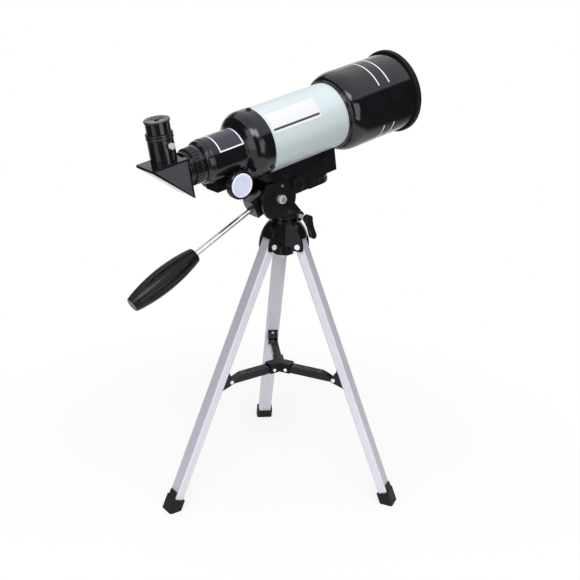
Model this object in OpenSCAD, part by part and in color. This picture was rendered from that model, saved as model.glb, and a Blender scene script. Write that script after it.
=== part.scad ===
// Small refracting telescope on a table tripod, with a pan and tilt head.
// Millimetres. +Z is up, the floor is z = 0, the pan axis is x = y = 0 and the
// telescope points toward +X. Telescope parts are drawn in the telescope's own
// frame: +X along the optical axis toward the sky, +Z away from the mount.

/* [Stand] */
// height of the leg pivots above the floor
pivot_height = 311; // [250:0.5:400]
// distance of each leg pivot from the pan axis
pivot_radius = 22.2; // [15:0.1:35]
// distance of each foot's middle from the pan axis
foot_radius = 152.7; // [100:0.1:250]
// turn of the left leg about the pan axis
first_leg_turn = 177.6; // [0:0.1:360]

/* [Crown] */
// largest radius of the domed crown
dome_radius = 30; // [24:0.1:40]
// level where the dome is widest, below the leg pivots
dome_drop = 3; // [0:0.5:10]
// rise of the dome's ellipse above that level
dome_rise = 36.2; // [30:0.1:50]
// top face of the crown's collar above the leg pivots
collar_rise = 29.7; // [25:0.1:35]
// height of the crown's collar
collar_depth = 4.2; // [2:0.1:8]
// radius of the crown's collar
collar_radius = 17; // [12:0.1:20]
// outside width of each crown arm, across its two ears
crown_arm_width = 23; // [20:0.1:30]
// width of the slot that holds the top of a leg
leg_slot_width = 17.4; // [17:0.1:22]
// underside of the crown's roof above the leg pivots
roof_rise = 10; // [8:0.1:15]
// lowest level of the crown's ears below the leg pivots
ear_drop = 5.5; // [4:0.1:9]
// rounding of the ears' outer lower corner
ear_rounding = 4; // [1:0.5:6]
// radius of the gap between the ears round the core
web_radius = 19; // [15:0.1:20]
// top of that gap, below the pivots
web_drop = 1; // [0:0.1:3]
// radius of the round core between the legs
core_radius = 12.2; // [10:0.1:14]
// underside of the crown's core below the leg pivots
core_drop = 13; // [9:0.5:20]
// radius of a leg pivot rivet
pivot_rivet_radius = 2; // [1.5:0.1:3]
// radius of a leg pivot rivet's head
pivot_head_radius = 3.2; // [2.5:0.1:4]
// height of a leg pivot rivet's head
pivot_head_height = 0.9; // [0.5:0.1:2]
// radius of the bolt that the head pans on
spindle_radius = 4; // [3:0.1:6]
// distance across the corners of the spindle's head and nut
spindle_hex = 13; // [10:0.5:16]
// height of the spindle's head
spindle_head_height = 3.6; // [2:0.1:6]
// height of the spindle's nut
spindle_nut_height = 4; // [2:0.1:6]

/* [Legs] */
// width of the leg tube along the tangent
leg_width = 16.8; // [12:0.1:24]
// depth of the leg tube outward from the stand
leg_depth = 11; // [8:0.1:16]
// wall of the leg tube
leg_wall = 1; // [0.6:0.1:2]
// corner radius of the leg tube
leg_corner = 2; // [1:0.1:4]
// length of leg tube above its pivot
leg_above_pivot = 7.4; // [4:0.1:10]
// distance from the end of the leg tube down to the floor, along the leg
leg_end_gap = 6.27; // [4:0.01:12]
// width of the rubber foot
foot_width = 21; // [18:0.5:28]
// depth of the rubber foot
foot_depth = 15.4; // [12:0.1:20]
// length of leg covered by the rubber foot
foot_cover = 9; // [5:0.5:30]
// width of the tongue that climbs the outside of the foot
tongue_width = 12; // [6:0.5:16]
// extra length of that tongue
tongue_height = 8; // [2:0.5:16]

/* [Brace] */
// height of the brace pins above the floor
brace_level = 149.5; // [100:0.5:200]
// distance of the hub's pins from the pan axis
hub_pin_radius = 11.4; // [9:0.1:16]
// distance of the leg brackets' pins from the pan axis
leg_pin_radius = 73.8; // [50:0.1:100]
// width of a brace arm
arm_width = 10; // [6:0.1:14]
// arm height above its pin line
arm_rise = 5.9; // [4:0.1:8]
// arm depth below its pin line
arm_drop = 3.4; // [2:0.1:5]
// length of the narrow neck at the arm's hub end
arm_neck = 6.1; // [4:0.1:10]
// gap left between the arm's outer end and the bracket's pin line
arm_end_gap = 2.6; // [2:0.1:6]
// length of the slope that clears the leg while folding
arm_slope = 17.2; // [5:0.1:20]
// width of each groove along the top of the arm
arm_groove = 2; // [1:0.1:3]
// depth of the grooves along the top of the arm
arm_groove_depth = 1.6; // [0.5:0.1:3]
// gap between an arm and the cheek beside it
cheek_gap = 0.3; // [0.1:0.05:1]
// thickness of the hub's and brackets' cheeks
cheek = 1; // [0.8:0.1:2]
// outer edge of the hub's three channels
hub_reach = 17; // [14:0.1:20]
// inner end of the hub's three channels
hub_core = 7.1; // [5:0.1:9]
// underside of the hub's roof above the pin line
hub_roof_gap = 6.6; // [6:0.1:9]
// thickness of the hub's roof
hub_roof = 1.4; // [1:0.1:3]
// depth of the hub's cheeks below the pin line
hub_drop = 4; // [3:0.1:6]
// radius of every brace pin
brace_pin_radius = 1.5; // [1:0.1:2.5]
// radius of every brace pin's head
brace_head_radius = 2.4; // [1.8:0.1:4]
// height of every brace pin's head
brace_head_height = 0.8; // [0.4:0.1:2]
// clearance between a pin and the bore that turns on it
pin_clearance = 0.3; // [0.1:0.05:0.5]
// upper end of a leg bracket's plate, above its pin
bracket_rise = 12.5; // [8:0.5:20]
// lower end of a leg bracket's ears, below its pin
bracket_fall = 13; // [8:0.5:20]
// where the plate between the ears stops, below its pin
plate_fall = 2; // [0:0.5:6]
// radius of the leg bracket's ears about the pin
bracket_ear_radius = 3.8; // [3:0.1:6]
// radius of a rivet head on the bracket's plate
plate_rivet_radius = 1.8; // [1:0.1:3]
// height of that rivet head
plate_rivet_height = 0.4; // [0.2:0.1:0.6]

/* [Pan fork] */
// tilt axis position along X
tilt_x = -21.1; // [-40:0.1:0]
// tilt axis height above the crown's collar
tilt_rise = 29.5; // [22:0.1:40]
// distance between the fork's cheeks
fork_gap = 31; // [26:0.1:40]
// thickness of each fork cheek
fork_cheek = 3.5; // [2:0.1:6]
// radius of the fork's rear edge about the tilt axis
fork_rear_radius = 26.7; // [24:0.1:36]
// radius of the fork's top about the tilt axis
fork_top_radius = 21; // [16:0.1:26]
// front edge of the fork's large rear part
fork_step_x = -30; // [-36:0.1:-24]
// flat top of the fork's large rear part above the tilt axis
fork_step_rise = 18.8; // [10:0.1:24]
// lower edge of the cheeks below the tilt axis
fork_drop = 20.7; // [16:0.1:24]
// underside of the fork's base block above the crown's collar
fork_base_lift = 3.9; // [1:0.1:6]
// top of the fork's base block above the crown's collar
fork_base_rise = 9.3; // [7:0.1:15]
// rear face of the fork's base block
fork_base_rear = -14.7; // [-20:0.1:-10]
// front face of the fork's base block
fork_base_front = 12; // [8:0.1:18]
// radius of the fork's round foot on the crown
fork_ring_radius = 14.7; // [10:0.1:18]
// gap between the fork and the crown
pan_gap = 0.3; // [0.1:0.05:1]
// radius of the tilt bolt
tilt_bolt_radius = 3; // [2:0.1:5]
// distance across the corners of the tilt nut and bolt head
tilt_hex = 10.6; // [8:0.1:14]
// height of the tilt nut and bolt head
tilt_nut_height = 3.5; // [2:0.1:6]
// radius of the round recess around the tilt nut
nut_recess_radius = 8; // [6:0.5:12]
// depth of the round recess around the tilt nut
nut_recess_depth = 0.8; // [0.4:0.1:2]
// height of the small screw above the tilt nut
stop_screw_rise = 15.5; // [10:0.5:18]
// radius of the small screw's head
stop_screw_head = 1.4; // [1:0.1:3]
// radius of the small screw's shank
stop_screw_radius = 1.1; // [0.8:0.1:2]
// how far in front of the pan axis the pan lock sits
lock_x = 3; // [-5:0.5:6]
// height of the pan lock's axis above the crown's collar
lock_rise = 7.3; // [5:0.1:12]
// radius of the boss around the pan lock screw
lock_boss_radius = 5.6; // [4:0.1:8]
// length of that boss beyond the cheek
lock_boss_length = 5.6; // [2:0.1:10]
// radius of the pan lock screw
lock_screw_radius = 2.5; // [1.5:0.1:4]
// distance from the pan axis to the inner face of the lock's lever
lever_start = 35; // [28:0.5:40]
// thickness of the lock's lever
lever_thickness = 6; // [4:0.5:12]
// radius of the lever's hub
lever_hub = 5; // [4:0.1:9]
// radius of the lever's tip
lever_tip = 3.6; // [2:0.1:6]
// distance from the lever's hub to its tip
lever_length = 22.5; // [15:0.1:35]
// turn of the lever away from straight down
lever_turn = 22; // [-60:1:60]
// half width of the lever's waist
lever_waist = 3; // [2:0.1:6]

/* [Tilt head] */
// width of the tilt hub between the fork's cheeks
hub_width = 30.4; // [26:0.1:40]
// radius of the tilt hub
hub_radius = 15; // [10:0.1:16]
// underside of the camera platform from the optical axis
platform_bottom = -71; // [-76:0.5:-66]
// top of the camera platform from the optical axis
platform_top = -62; // [-66:0.5:-58]
// rear end of the camera platform
platform_rear = -38; // [-45:0.5:-30]
// half width of the platform between the fork's cheeks
platform_half_width = 14.8; // [12:0.1:15.2]
// step from the platform's top down to the hub's flat
hub_step = 0.5; // [0.2:0.1:2]
// where the platform's wide round front starts
platform_step = 8; // [4:0.5:16]
// middle of the platform's round front and of the camera screw
camera_s = 28; // [20:0.5:36]
// radius of the platform's round front
platform_nose = 17; // [14:0.1:22]
// underside of the thumbwheel's slot
wheel_slot_bottom = -67.6; // [-70:0.1:-65]
// height of the thumbwheel's slot
wheel_slot_height = 3.2; // [2:0.1:5]
// gap over and under the thumbwheel
wheel_gap = 0.3; // [0.1:0.05:1]
// radius of the thumbwheel
wheel_radius = 16.4; // [12:0.1:20]
// radius of the slot around the thumbwheel
wheel_slot_radius = 17.4; // [13:0.1:21]
// radius of the quarter inch camera screw
camera_screw_radius = 3.175; // [3:0.005:5]
// top end of the camera screw
camera_screw_top = -51; // [-58:0.5:-45]
// clearance around the camera screw
camera_clearance = 0.3; // [0.1:0.05:0.6]

/* [Handle] */
// a point on the handle's axis, along X
handle_x = -51; // [-60:0.5:-40]
// a point on the handle's axis, below the tilt axis
handle_drop = 13.2; // [0:0.1:24]
// slope of the handle below level
handle_slope = 27.7; // [0:0.1:60]
// half width of the handle's block
block_half_width = 9; // [6:0.1:14]
// end face of the handle's block
block_end = -1.5; // [-10:0.5:5]
// inner end of the handle's block
block_start = -22; // [-26:0.5:-16]
// block above the handle's axis
block_rise = 12; // [8:0.1:14]
// block below the handle's axis
block_fall = 9.5; // [6:0.1:14]
// radius that rounds the block's corners about the handle's axis
block_rounding = 13.5; // [12:0.1:20]
// radius of the handle's rod
rod_radius = 3; // [2:0.1:5]
// inner end of the rod
rod_start = -21; // [-22:0.5:-10]
// clearance between the rod and the block
rod_clearance = 0.2; // [0.1:0.05:0.5]
// front end of the grip
grip_start = 83.7; // [60:0.1:120]
// rear end of the grip
grip_end = 173.6; // [140:0.1:220]
// radius of the grip at its front end
grip_front_radius = 8.6; // [6:0.1:12]
// largest radius of the grip
grip_radius = 13.6; // [10:0.1:18]
// radius of the grip at its rear end
grip_rear_radius = 8.4; // [6:0.1:12]
// how far the rod goes into the grip
grip_depth = 60; // [20:1:80]
// radius at which the grip's flutes are cut
flute_radius = 11.6; // [9:0.1:16]
// width of the grip's flutes
flute_width = 1.6; // [1:0.1:4]

/* [Telescope mount] */
// height of the optical axis, over the pan axis, above the tilt axis
scope_rise = 73.3; // [66:0.1:90]
// how far the telescope points above level
scope_nose_up = 11.23; // [0:0.01:45]
// half width of the foot under the tube
foot_half_width = 14.8; // [12:0.1:15]
// rear end of the foot's deep block
foot_rear = -38; // [-44:0.5:-30]
// front end of the foot
foot_front = 53; // [40:0.5:56]
// rear end of the foot's shallow flange
flange_rear = -47; // [-47:0.1:-44]
// underside of the foot's shallow flange
flange_bottom = -45; // [-48:0.5:-42]
// position of the side clamp knob along the tube
side_knob_s = -11; // [-20:0.5:0]
// height of the side clamp knob's axis
side_knob_w = -58; // [-60:0.5:-50]
// radius of the side clamp knob
side_knob_radius = 8.5; // [6:0.1:12]
// inner face of the side clamp knob
side_knob_start = 19.5; // [19.2:0.1:22]
// thickness of the side clamp knob
side_knob_thickness = 4.5; // [3:0.1:8]
// radius of the side clamp knob's screw
side_screw_radius = 2.5; // [1.5:0.1:4]
// inner end of the side clamp knob's screw
side_screw_end = 8; // [4:0.5:12]
// clearance around the side clamp knob's screw
side_clearance = 0.3; // [0.1:0.05:0.6]
// rear foot bolt along the tube
foot_bolt_rear = -25; // [-32:0.5:-15]
// front foot bolt along the tube
foot_bolt_front = 40; // [36:0.5:48]
// radius of the foot bolts
foot_bolt_radius = 2; // [1.5:0.1:3]
// radius of the foot bolts' heads
foot_bolt_head = 4; // [3:0.1:6]
// height of the foot bolts' heads
foot_bolt_head_height = 2.2; // [1:0.1:4]
// lower end of the foot bolts
foot_bolt_end = -48; // [-56:0.5:-42]
// clearance around the foot bolts
bolt_clearance = 0.15; // [0.05:0.05:0.5]

/* [Main tube] */
// outside radius of the main tube
tube_radius = 37.5; // [30:0.1:50]
// wall of the main tube
tube_wall = 1.2; // [0.8:0.1:2]
// rear end of the main tube, inside the focuser's cap
tube_rear = -58; // [-70:0.5:-50]
// front end of the main tube, inside the dew shield
tube_front = 72; // [60:0.5:100]
// play between the main tube and the covers pushed over it
cover_fit = 0.1; // [0.05:0.05:0.3]
// place of the light baffle inside the tube
baffle_s = 8; // [-10:0.5:30]
// opening radius of the light baffle
baffle_hole = 27; // [22:0.5:32]
// length of the light baffle's rim
baffle_rim = 6; // [3:0.5:12]
// thickness of the light baffle
baffle_wall = 1; // [0.6:0.1:2]

/* [Dew shield] */
// rear edge of the dew shield's sleeve
sleeve_rear = 59; // [50:0.5:61]
// wall of the sleeve over the main tube
sleeve_wall = 2; // [1:0.1:4]
// where the shield's shoulder starts
shoulder_start = 62; // [58:0.5:68]
// where the shield reaches its full radius
shoulder_end = 79.8; // [70:0.1:90]
// how far the dew shield stands out beyond the main tube
shield_step_out = 9; // [4:0.1:16]
// wall of the dew shield
shield_wall = 1.5; // [1:0.1:3]
// front edge of the dew shield
shield_front = 158.4; // [120:0.1:180]
// where the shield is bored out to its full inside radius
shield_bore_start = 84; // [80:0.5:90]
// step that seats on the objective cell
shield_step = 74; // [73:0.1:76]
// how far that step reaches inside the main tube's outside
shield_seat = 0.6; // [0.3:0.1:1]
// how far the rubber rim stands out beyond the dew shield
rim_outside = 3.2; // [1:0.1:6]
// thickness of the rim's sleeve inside the dew shield
rim_sleeve = 1.4; // [1:0.1:3]
// front face of the rubber rim
rim_front = 165.6; // [125:0.1:190]
// rear edge of the rim's inner sleeve
rim_sleeve_rear = 150; // [140:0.5:155]
// chamfer of the rim's edges
rim_chamfer = 1.2; // [0.4:0.1:2]

/* [Objective] */
// rear edge of the objective cell
cell_rear = 54; // [48:0.5:60]
// width of the cell's rear lip behind the lens
cell_lip = 2; // [1:0.1:4]
// seat of the rear lens
lens_seat = 58; // [52:0.5:64]
// how much smaller both lenses are than the main tube's outside, in radius
lens_inset = 2.5; // [2:0.1:4]
// play of the lenses in the cell
lens_fit = 0.1; // [0.05:0.05:0.3]
// how much smaller the cell's front flange is than the main tube, in radius
flange_inset = 0.2; // [0.1:0.1:0.5]
// thickness of the cell's front flange
cell_flange = 2; // [1:0.1:4]
// edge thickness of the rear lens
rear_lens_edge = 6.8; // [4:0.1:10]
// edge thickness of the front lens
front_lens_edge = 2.7; // [1:0.1:5]
// bulge of the front lens toward the rear lens
lens_inner_sag = 2.3; // [1:0.1:4]
// air gap between the two lenses in the middle
lens_air_gap = 0.3; // [0.1:0.05:1]
// bulge of the front lens toward the sky
lens_outer_sag = 3; // [1:0.1:5]
// flat width of both lenses' edges
lens_land = 1; // [0.5:0.1:2]
// length of the ring that holds the lenses
keeper_length = 3.5; // [2:0.1:6]

/* [Focuser] */
// front edge of the focuser's cap over the tube
cap_front = -47.5; // [-50:0.1:-47.1]
// where the cap starts to round inward
cap_bend = -60; // [-61:0.5:-58.5]
// wall of the focuser's cap over the main tube
cap_wall = 0.9; // [0.6:0.1:3]
// rear end of the focuser's body
body_rear = -124.5; // [-150:0.5:-110]
// where the body meets the cap
body_front = -76; // [-84:0.5:-72]
// outside radius of the focuser's body
body_radius = 24.4; // [22:0.1:30]
// radius of the body at its rear end
body_rear_radius = 21.2; // [20:0.1:24]
// length over which the body rounds down to that radius
body_rounding = 7; // [3:0.1:10]
// width of the rack's way through the body
rack_way = 6.6; // [5:0.1:9]
// turn of the first tube screw about the tube, from the top toward -Y
tube_screw_turn = 3; // [-60:1:60]
// place of the tube screws
tube_screw_s = -51; // [-55:0.1:-51]
// radius of the tube screws
tube_screw_radius = 1.4; // [1:0.1:2]
// radius of the tube screws' heads
tube_screw_head = 2.6; // [2:0.1:4]
// height of the tube screws' heads
tube_screw_head_height = 1.6; // [1:0.1:3]
// rear face of the pinion housing
pinion_box_rear = -112; // [-118:0.5:-106]
// front face of the pinion housing
pinion_box_front = -72; // [-80:0.5:-66]
// half width of the pinion housing
pinion_box_half_width = 10.5; // [8:0.1:14]
// underside of the pinion housing
pinion_box_bottom = -35.5; // [-40:0.1:-33]
// pinion axis along the tube
pinion_s = -92.1; // [-100:0.1:-84]
// tooth size as pitch diameter over tooth count
gear_module = 0.6; // [0.5:0.05:1]
// number of pinion teeth
pinion_teeth = 14; // [10:1:20]
// distance from the optical axis down to the rack's pitch line
rack_pitch_line = 24.9; // [22:0.1:28]
// share of the tooth pitch left free between meshing teeth
tooth_play = 0.2; // [0.05:0.01:0.3]
// width of the pinion's teeth
pinion_width = 8; // [4:0.1:12]
// radius of the pinion's shaft
pinion_shaft_radius = 2; // [1.5:0.1:3]
// inner face of the focus knobs
knob_start = 19.3; // [18:0.1:22]
// outer face of the focus knobs
knob_end = 29; // [26:0.1:34]
// radius of the focus knobs
knob_radius = 16; // [12:0.1:22]
// radius of the knob's inner face beside the body
knob_inner_radius = 12.6; // [10:0.1:14]
// length of the knob's slope beside the body
knob_slope = 2.6; // [1:0.1:4]
// depth of the knurling on the knob's edge
knob_rib = 0.5; // [0.2:0.1:1]
// radius of the hub between a knob and the pinion housing
knob_hub_radius = 5; // [4:0.1:8]
// radius of the pale cap in each knob
knob_cap_radius = 13.2; // [10:0.1:15]
// bottom of the pale cap inside the knob
knob_cap_seat = 27; // [24:0.1:28]
// top of the pale cap's rim
knob_cap_top = 30.5; // [29.5:0.1:32]
// width of the pale cap's rim
knob_cap_rim = 1.3; // [0.6:0.1:3]
// depth of the pale cap's face below its rim
knob_cap_dish = 0.7; // [0.2:0.1:1]

/* [Drawtube] */
// outside radius of the drawtube
draw_radius = 18.5; // [16:0.1:22]
// wall of the drawtube
draw_wall = 1.5; // [1:0.1:2.5]
// play between the drawtube and the focuser's body
draw_clearance = 0.3; // [0.1:0.05:0.5]
// front end of the drawtube
draw_front = -26; // [-40:0.5:-20]
// rear end of the drawtube
draw_rear = -125; // [-132:0.5:-125]
// width of the rack
rack_width = 5; // [3:0.1:8]
// rear face of the collar behind the drawtube
collar_rear = -140.8; // [-150:0.1:-136]
// outside radius of the collar
collar_knurl_radius = 20.3; // [19:0.1:26]
// depth of the collar's knurling
collar_knurl_depth = 0.8; // [0.3:0.1:2]
// number of ribs round the collar
collar_ribs = 30; // [20:1:60]
// length of the narrow step at the collar's rear
collar_step = 3.4; // [1:0.1:6]
// radius of that step
collar_step_radius = 17.8; // [16:0.1:19]
// length of the plain band at the collar's front
collar_band = 5; // [2:0.1:8]
// radius of that band
collar_band_radius = 20.5; // [19:0.1:24]
// length of the collar's spigot inside the drawtube
collar_spigot = 6; // [3:0.5:12]

/* [Diagonal] */
// radius of the diagonal's nose tube
nose_radius = 12.25; // [12.2:0.05:16]
// play between the nose tube and the collar
nose_clearance = 0.25; // [0.1:0.05:0.5]
// bore radius of the nose tube and of the light path
nose_bore = 10.9; // [9:0.1:14]
// front end of the nose tube
nose_front = -112; // [-120:0.5:-105]
// gap between the collar and the nose tube's shoulder
shoulder_gap = 0.2; // [0.1:0.05:0.5]
// thickness of the nose tube's shoulder
shoulder_thickness = 2.5; // [1.5:0.1:5]
// radius of the nose tube's shoulder
nose_shoulder_radius = 18; // [17:0.1:24]
// half width of the diagonal's housing
prism_half_width = 16.3; // [15:0.1:22]
// top face of the diagonal's housing
prism_top = 15.5; // [15:0.1:20]
// wall of the diagonal's housing
prism_wall = 2.6; // [1.5:0.1:4]
// how far the sloping cover reaches behind the housing, along the tube
cover_depth = 3.2; // [1:0.1:6]
// height of the cover's blunt rear end
cover_edge = 3; // [1:0.1:6]
// eyepiece axis along the tube
eyepiece_s = -163.4; // [-170:0.1:-158]
// depth of the housing behind the mirror's face, along the tube
slope_depth = 5.4; // [4:0.1:8]
// half length of the mirror along its slope
mirror_half_length = 18; // [14:0.1:22]
// half width of the mirror
mirror_half_width = 12.5; // [10:0.1:14]
// width of the raised border on the housing's sides
panel_border = 2; // [1.5:0.1:6]
// depth of the panels in the housing's sides
panel_depth = 0.6; // [0.3:0.1:1.2]
// outside radius of the eyepiece holder
holder_radius = 14; // [13.5:0.1:18]
// where the holder's rim starts
holder_rim_start = 40.5; // [30:0.1:45]
// top of the eyepiece holder
holder_top = 46.5; // [40:0.1:55]
// outside radius of the holder's rim
holder_rim_radius = 14.6; // [14:0.1:18]
// ledge that the eyepiece stands on
holder_ledge = 20; // [18:0.5:24]
// height of the set screw
set_screw_w = 34.5; // [24:0.5:36]
// turn of the set screw about the eyepiece's axis
set_screw_turn = -83; // [-180:1:180]
// radius of the boss round the set screw
set_screw_boss = 4.4; // [3.5:0.1:6]
// radius of the set screw's shank
set_screw_radius = 1.5; // [1:0.1:2.5]
// radius of the set screw's head
set_screw_head = 3.2; // [2.5:0.1:6]
// inner face of the set screw's head from the eyepiece's axis
set_screw_start = 15.6; // [15:0.1:20]
// outer face of the set screw's head from the eyepiece's axis
set_screw_end = 19.2; // [17:0.1:24]

/* [Eyepiece] */
// radius of the eyepiece's barrel
barrel_radius = 12.25; // [12:0.05:16]
// play between the barrel and its holder
barrel_clearance = 0.3; // [0.1:0.05:0.5]
// wall of the barrel
barrel_wall = 1.3; // [0.8:0.1:2]
// top end of the barrel
barrel_top = 58; // [50:0.1:70]
// radius of the barrel above its holder
neck_radius = 12.9; // [12:0.1:16]
// radius of the eyepiece's top
eye_radius = 13.8; // [13:0.1:18]
// thickness of the eyepiece's top
eye_thickness = 2.2; // [1.5:0.1:8]
// radius of the shallow dish in the top
eye_dish_radius = 9; // [4:0.1:12]
// depth of that dish
eye_dish = 0.9; // [0.3:0.1:1.5]
// radius of the eye hole
eye_hole = 2.8; // [1.5:0.1:6]
// radius of the eye lens
eye_lens_radius = 6; // [4:0.1:8]
// length of the top's spigot inside the barrel
eye_spigot = 5; // [3:0.1:10]
// level of the field lens's ledge
field_ledge = 24.5; // [22:0.5:30]
// inside radius of the field lens's ledge
field_stop = 9.4; // [7:0.1:10.5]

/* [Hidden] */
$fn = 96;
thumb_ribs = 36;
knob_ribs = 48;
gloss_black = [0.07, 0.07, 0.08];
matt_black = [0.12, 0.12, 0.13];
pale_green = [0.72, 0.82, 0.78];
silver = [0.82, 0.82, 0.87];
bright = [0.88, 0.88, 0.88];
pale_cap = [0.83, 0.85, 0.93];
clear = [0.75, 0.85, 0.9];
// small overlap that keeps a cut from ending exactly on a face
over = 1;
leg_turns = [first_leg_turn, first_leg_turn + 120, first_leg_turn + 240];
splay = atan2(foot_radius - pivot_radius, pivot_height);
leg_below_pivot = norm([foot_radius - pivot_radius, pivot_height]) - leg_end_gap;
dome_level = pivot_height - dome_drop;
collar_top = pivot_height + collar_rise;
roof_level = pivot_height + roof_rise;
ear_bottom = pivot_height - ear_drop;
core_bottom = pivot_height - core_drop;
tilt_z = collar_top + tilt_rise;
fork_step_z = tilt_z + fork_step_rise;
fork_bottom = tilt_z - fork_drop;
fork_base_bottom = collar_top + fork_base_lift;
fork_base_top = collar_top + fork_base_rise;
lock_z = collar_top + lock_rise;
handle_z = tilt_z - handle_drop;
scope_height = tilt_z + scope_rise;
arm_length = leg_pin_radius - hub_pin_radius;
pin_run = leg_pin_radius - pivot_radius;
pin_fall = pivot_height - brace_level;
// place of the bracket's pin in the leg's frame: along the leg and inward
pin_along = pin_run * sin(splay) + pin_fall * cos(splay);
pin_inward = pin_fall * sin(splay) - pin_run * cos(splay);
fork_half = fork_gap / 2;
fork_outer = fork_half + fork_cheek;
bracket_inner = arm_width / 2 + cheek_gap;
bracket_outer = bracket_inner + cheek;
tube_bore = tube_radius - tube_wall;
sleeve_radius = tube_radius + sleeve_wall;
shield_radius = tube_radius + shield_step_out;
shield_inner = shield_radius - shield_wall;
shield_step_radius = tube_radius - shield_seat;
rim_radius = shield_radius + rim_outside;
rim_inner_radius = shield_inner - rim_sleeve;
lens_radius = tube_radius - lens_inset;
cell_lip_radius = lens_radius - cell_lip;
cell_flange_radius = tube_radius - flange_inset;
cap_radius = tube_radius + cap_wall;
lens_front_edge = lens_seat + rear_lens_edge + front_lens_edge;
lens_inner_edge = lens_seat + rear_lens_edge;
draw_bore = draw_radius - draw_wall;
collar_bore = nose_radius + nose_clearance;
rib_rear = collar_rear + collar_step;
rib_front = draw_rear - collar_band;
shoulder_front = collar_rear - shoulder_gap;
prism_front = shoulder_front - shoulder_thickness;
barrel_bore = barrel_radius - barrel_wall;
holder_bore = barrel_radius + barrel_clearance;
// sloping faces of the diagonal obey: along + up = constant
mirror_face = eyepiece_s;
prism_slope = mirror_face - slope_depth;
pinion_pitch = gear_module * pinion_teeth / 2;
pinion_w = -rack_pitch_line - pinion_pitch;
tooth_pitch = gear_module * PI;
tooth_top = 0.9 * gear_module;
tooth_root = 1.2 * gear_module;
pressure_angle = 20;
pinion_cavity = pinion_pitch + tooth_top + 0.4;
// the foot is drawn up to this level and hollowed out by the tube
saddle_top = -0.8 * tube_radius;
bolt_seat = -sqrt(tube_bore * tube_bore - foot_bolt_head * foot_bolt_head);
screw_seat = cap_radius - 0.1;

// ---- helpers ----

// turned solid from a half profile of [radius, height] points, about +Z
module lathe(points)
  rotate_extrude() polygon(points);

// turned solid about the telescope's axis, from [radius, along] points
module lathe_along(points)
  rotate([0, 90, 0]) lathe(points);

// puts a part drawn in the telescope's frame in its place
module on_scope()
  translate([0, 0, scope_height]) rotate([0, -scope_nose_up, 0]) children();

// puts a part drawn in a leg's frame in its place: -Z down the leg, +X outward
module on_leg(turn)
  rotate([0, 0, turn]) translate([pivot_radius, 0, pivot_height]) rotate([0, -splay, 0]) children();

// puts a part drawn along the handle in its place: +X down the handle, +Z above it
module on_handle()
  translate([handle_x, 0, handle_z]) rotate([0, -handle_slope, 0]) mirror([1, 0, 0]) children();

// puts a part drawn about the eyepiece's axis in its place
module on_eyepiece()
  on_scope() translate([eyepiece_s, 0, 0]) children();

// cylinder across the model, centred on its length, along Y
module across(radius, length)
  rotate([90, 0, 0]) cylinder(r = radius, h = length, center = true);

// cylinder along X between two places
module along(radius, from, to)
  rotate([0, 90, 0]) translate([0, 0, from]) cylinder(r = radius, h = to - from);

// cylinder along Y between two distances on the -Y side
module outward(radius, from, to)
  translate([0, -from, 0]) rotate([90, 0, 0]) cylinder(r = radius, h = to - from);

// six sided prism along Y between two distances on the -Y side
module outward_hex(width, from, to)
  translate([0, -from, 0]) rotate([90, 0, 0]) cylinder(d = width, h = to - from, $fn = 6);

// point where a line from outside touches a circle, on the side given by the sign
function tangent(from, middle, radius, side) =
  let (away = from - middle)
  let (turn = atan2(away[1], away[0]) + side * acos(radius / norm(away)))
  middle + radius * [cos(turn), sin(turn)];

// outline of a ribbed edge
function ribs(radius, depth, count) =
  [for (i = [0 : count - 1]) for (k = [0 : 3])
    let (turn = (i + [0, 0.42, 0.5, 0.92][k]) * 360 / count)
    let (reach = k < 2 ? radius : radius - depth)
    reach * [cos(turn), sin(turn)]];

// height of a shallow curve of given bulge over a lens of given radius
function bulge(sag, reach, at) =
  let (curve = (reach * reach + sag * sag) / (2 * sag))
  sqrt(curve * curve - at * at) - (curve - sag);

// involute of a turn in degrees
function involute(turn) = tan(turn) * 180 / PI - turn;

// ---- crown ----

module crown_arm(turn)
  rotate([0, 0, turn]) {
    translate([0, -crown_arm_width / 2, ear_bottom])
      cube([dome_radius - ear_rounding, crown_arm_width, collar_top - ear_bottom - 2]);
    translate([0, -crown_arm_width / 2, ear_bottom + ear_rounding])
      cube([dome_radius + over, crown_arm_width, collar_top - ear_bottom - ear_rounding - 2]);
    translate([dome_radius - ear_rounding, 0, ear_bottom + ear_rounding])
      across(ear_rounding, crown_arm_width);
  }

module dome()
  lathe(concat([[0, ear_bottom], [dome_radius, ear_bottom]],
    [for (i = [0 : 14]) let (z = dome_level + dome_rise * 0.058 * i)
      [dome_radius * sqrt(1 - pow((z - dome_level) / dome_rise, 2)), z]],
    [[0, dome_level + dome_rise * 0.812]]));

module crown() color(gloss_black)
  difference() {
    union() {
      difference() {
        intersection() {
          dome();
          union()
            for (turn = leg_turns)
              crown_arm(turn);
        }
        translate([0, 0, ear_bottom - over])
          cylinder(r = web_radius, h = pivot_height - web_drop - ear_bottom + over);
      }
      translate([0, 0, collar_top - collar_depth])
        cylinder(r = collar_radius, h = collar_depth);
      translate([0, 0, core_bottom])
        cylinder(r = core_radius, h = collar_top - core_bottom - 1);
    }
    for (turn = leg_turns)
      rotate([0, 0, turn]) {
        translate([core_radius, -leg_slot_width / 2, ear_bottom - over])
          cube([dome_radius, leg_slot_width, roof_level - ear_bottom + over]);
        translate([pivot_radius, 0, pivot_height])
          across(pivot_rivet_radius, crown_arm_width + 2 * over);
      }
    translate([0, 0, core_bottom - over])
      cylinder(r = spindle_radius, h = collar_top - core_bottom + 2 * over);
  }

module leg_pivot_rivets() color(bright)
  for (turn = leg_turns)
    rotate([0, 0, turn]) translate([pivot_radius, 0, pivot_height]) {
      across(pivot_rivet_radius, crown_arm_width);
      for (side = [0, 180])
        rotate([0, 0, side])
          outward(pivot_head_radius, crown_arm_width / 2, crown_arm_width / 2 + pivot_head_height);
    }

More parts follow.
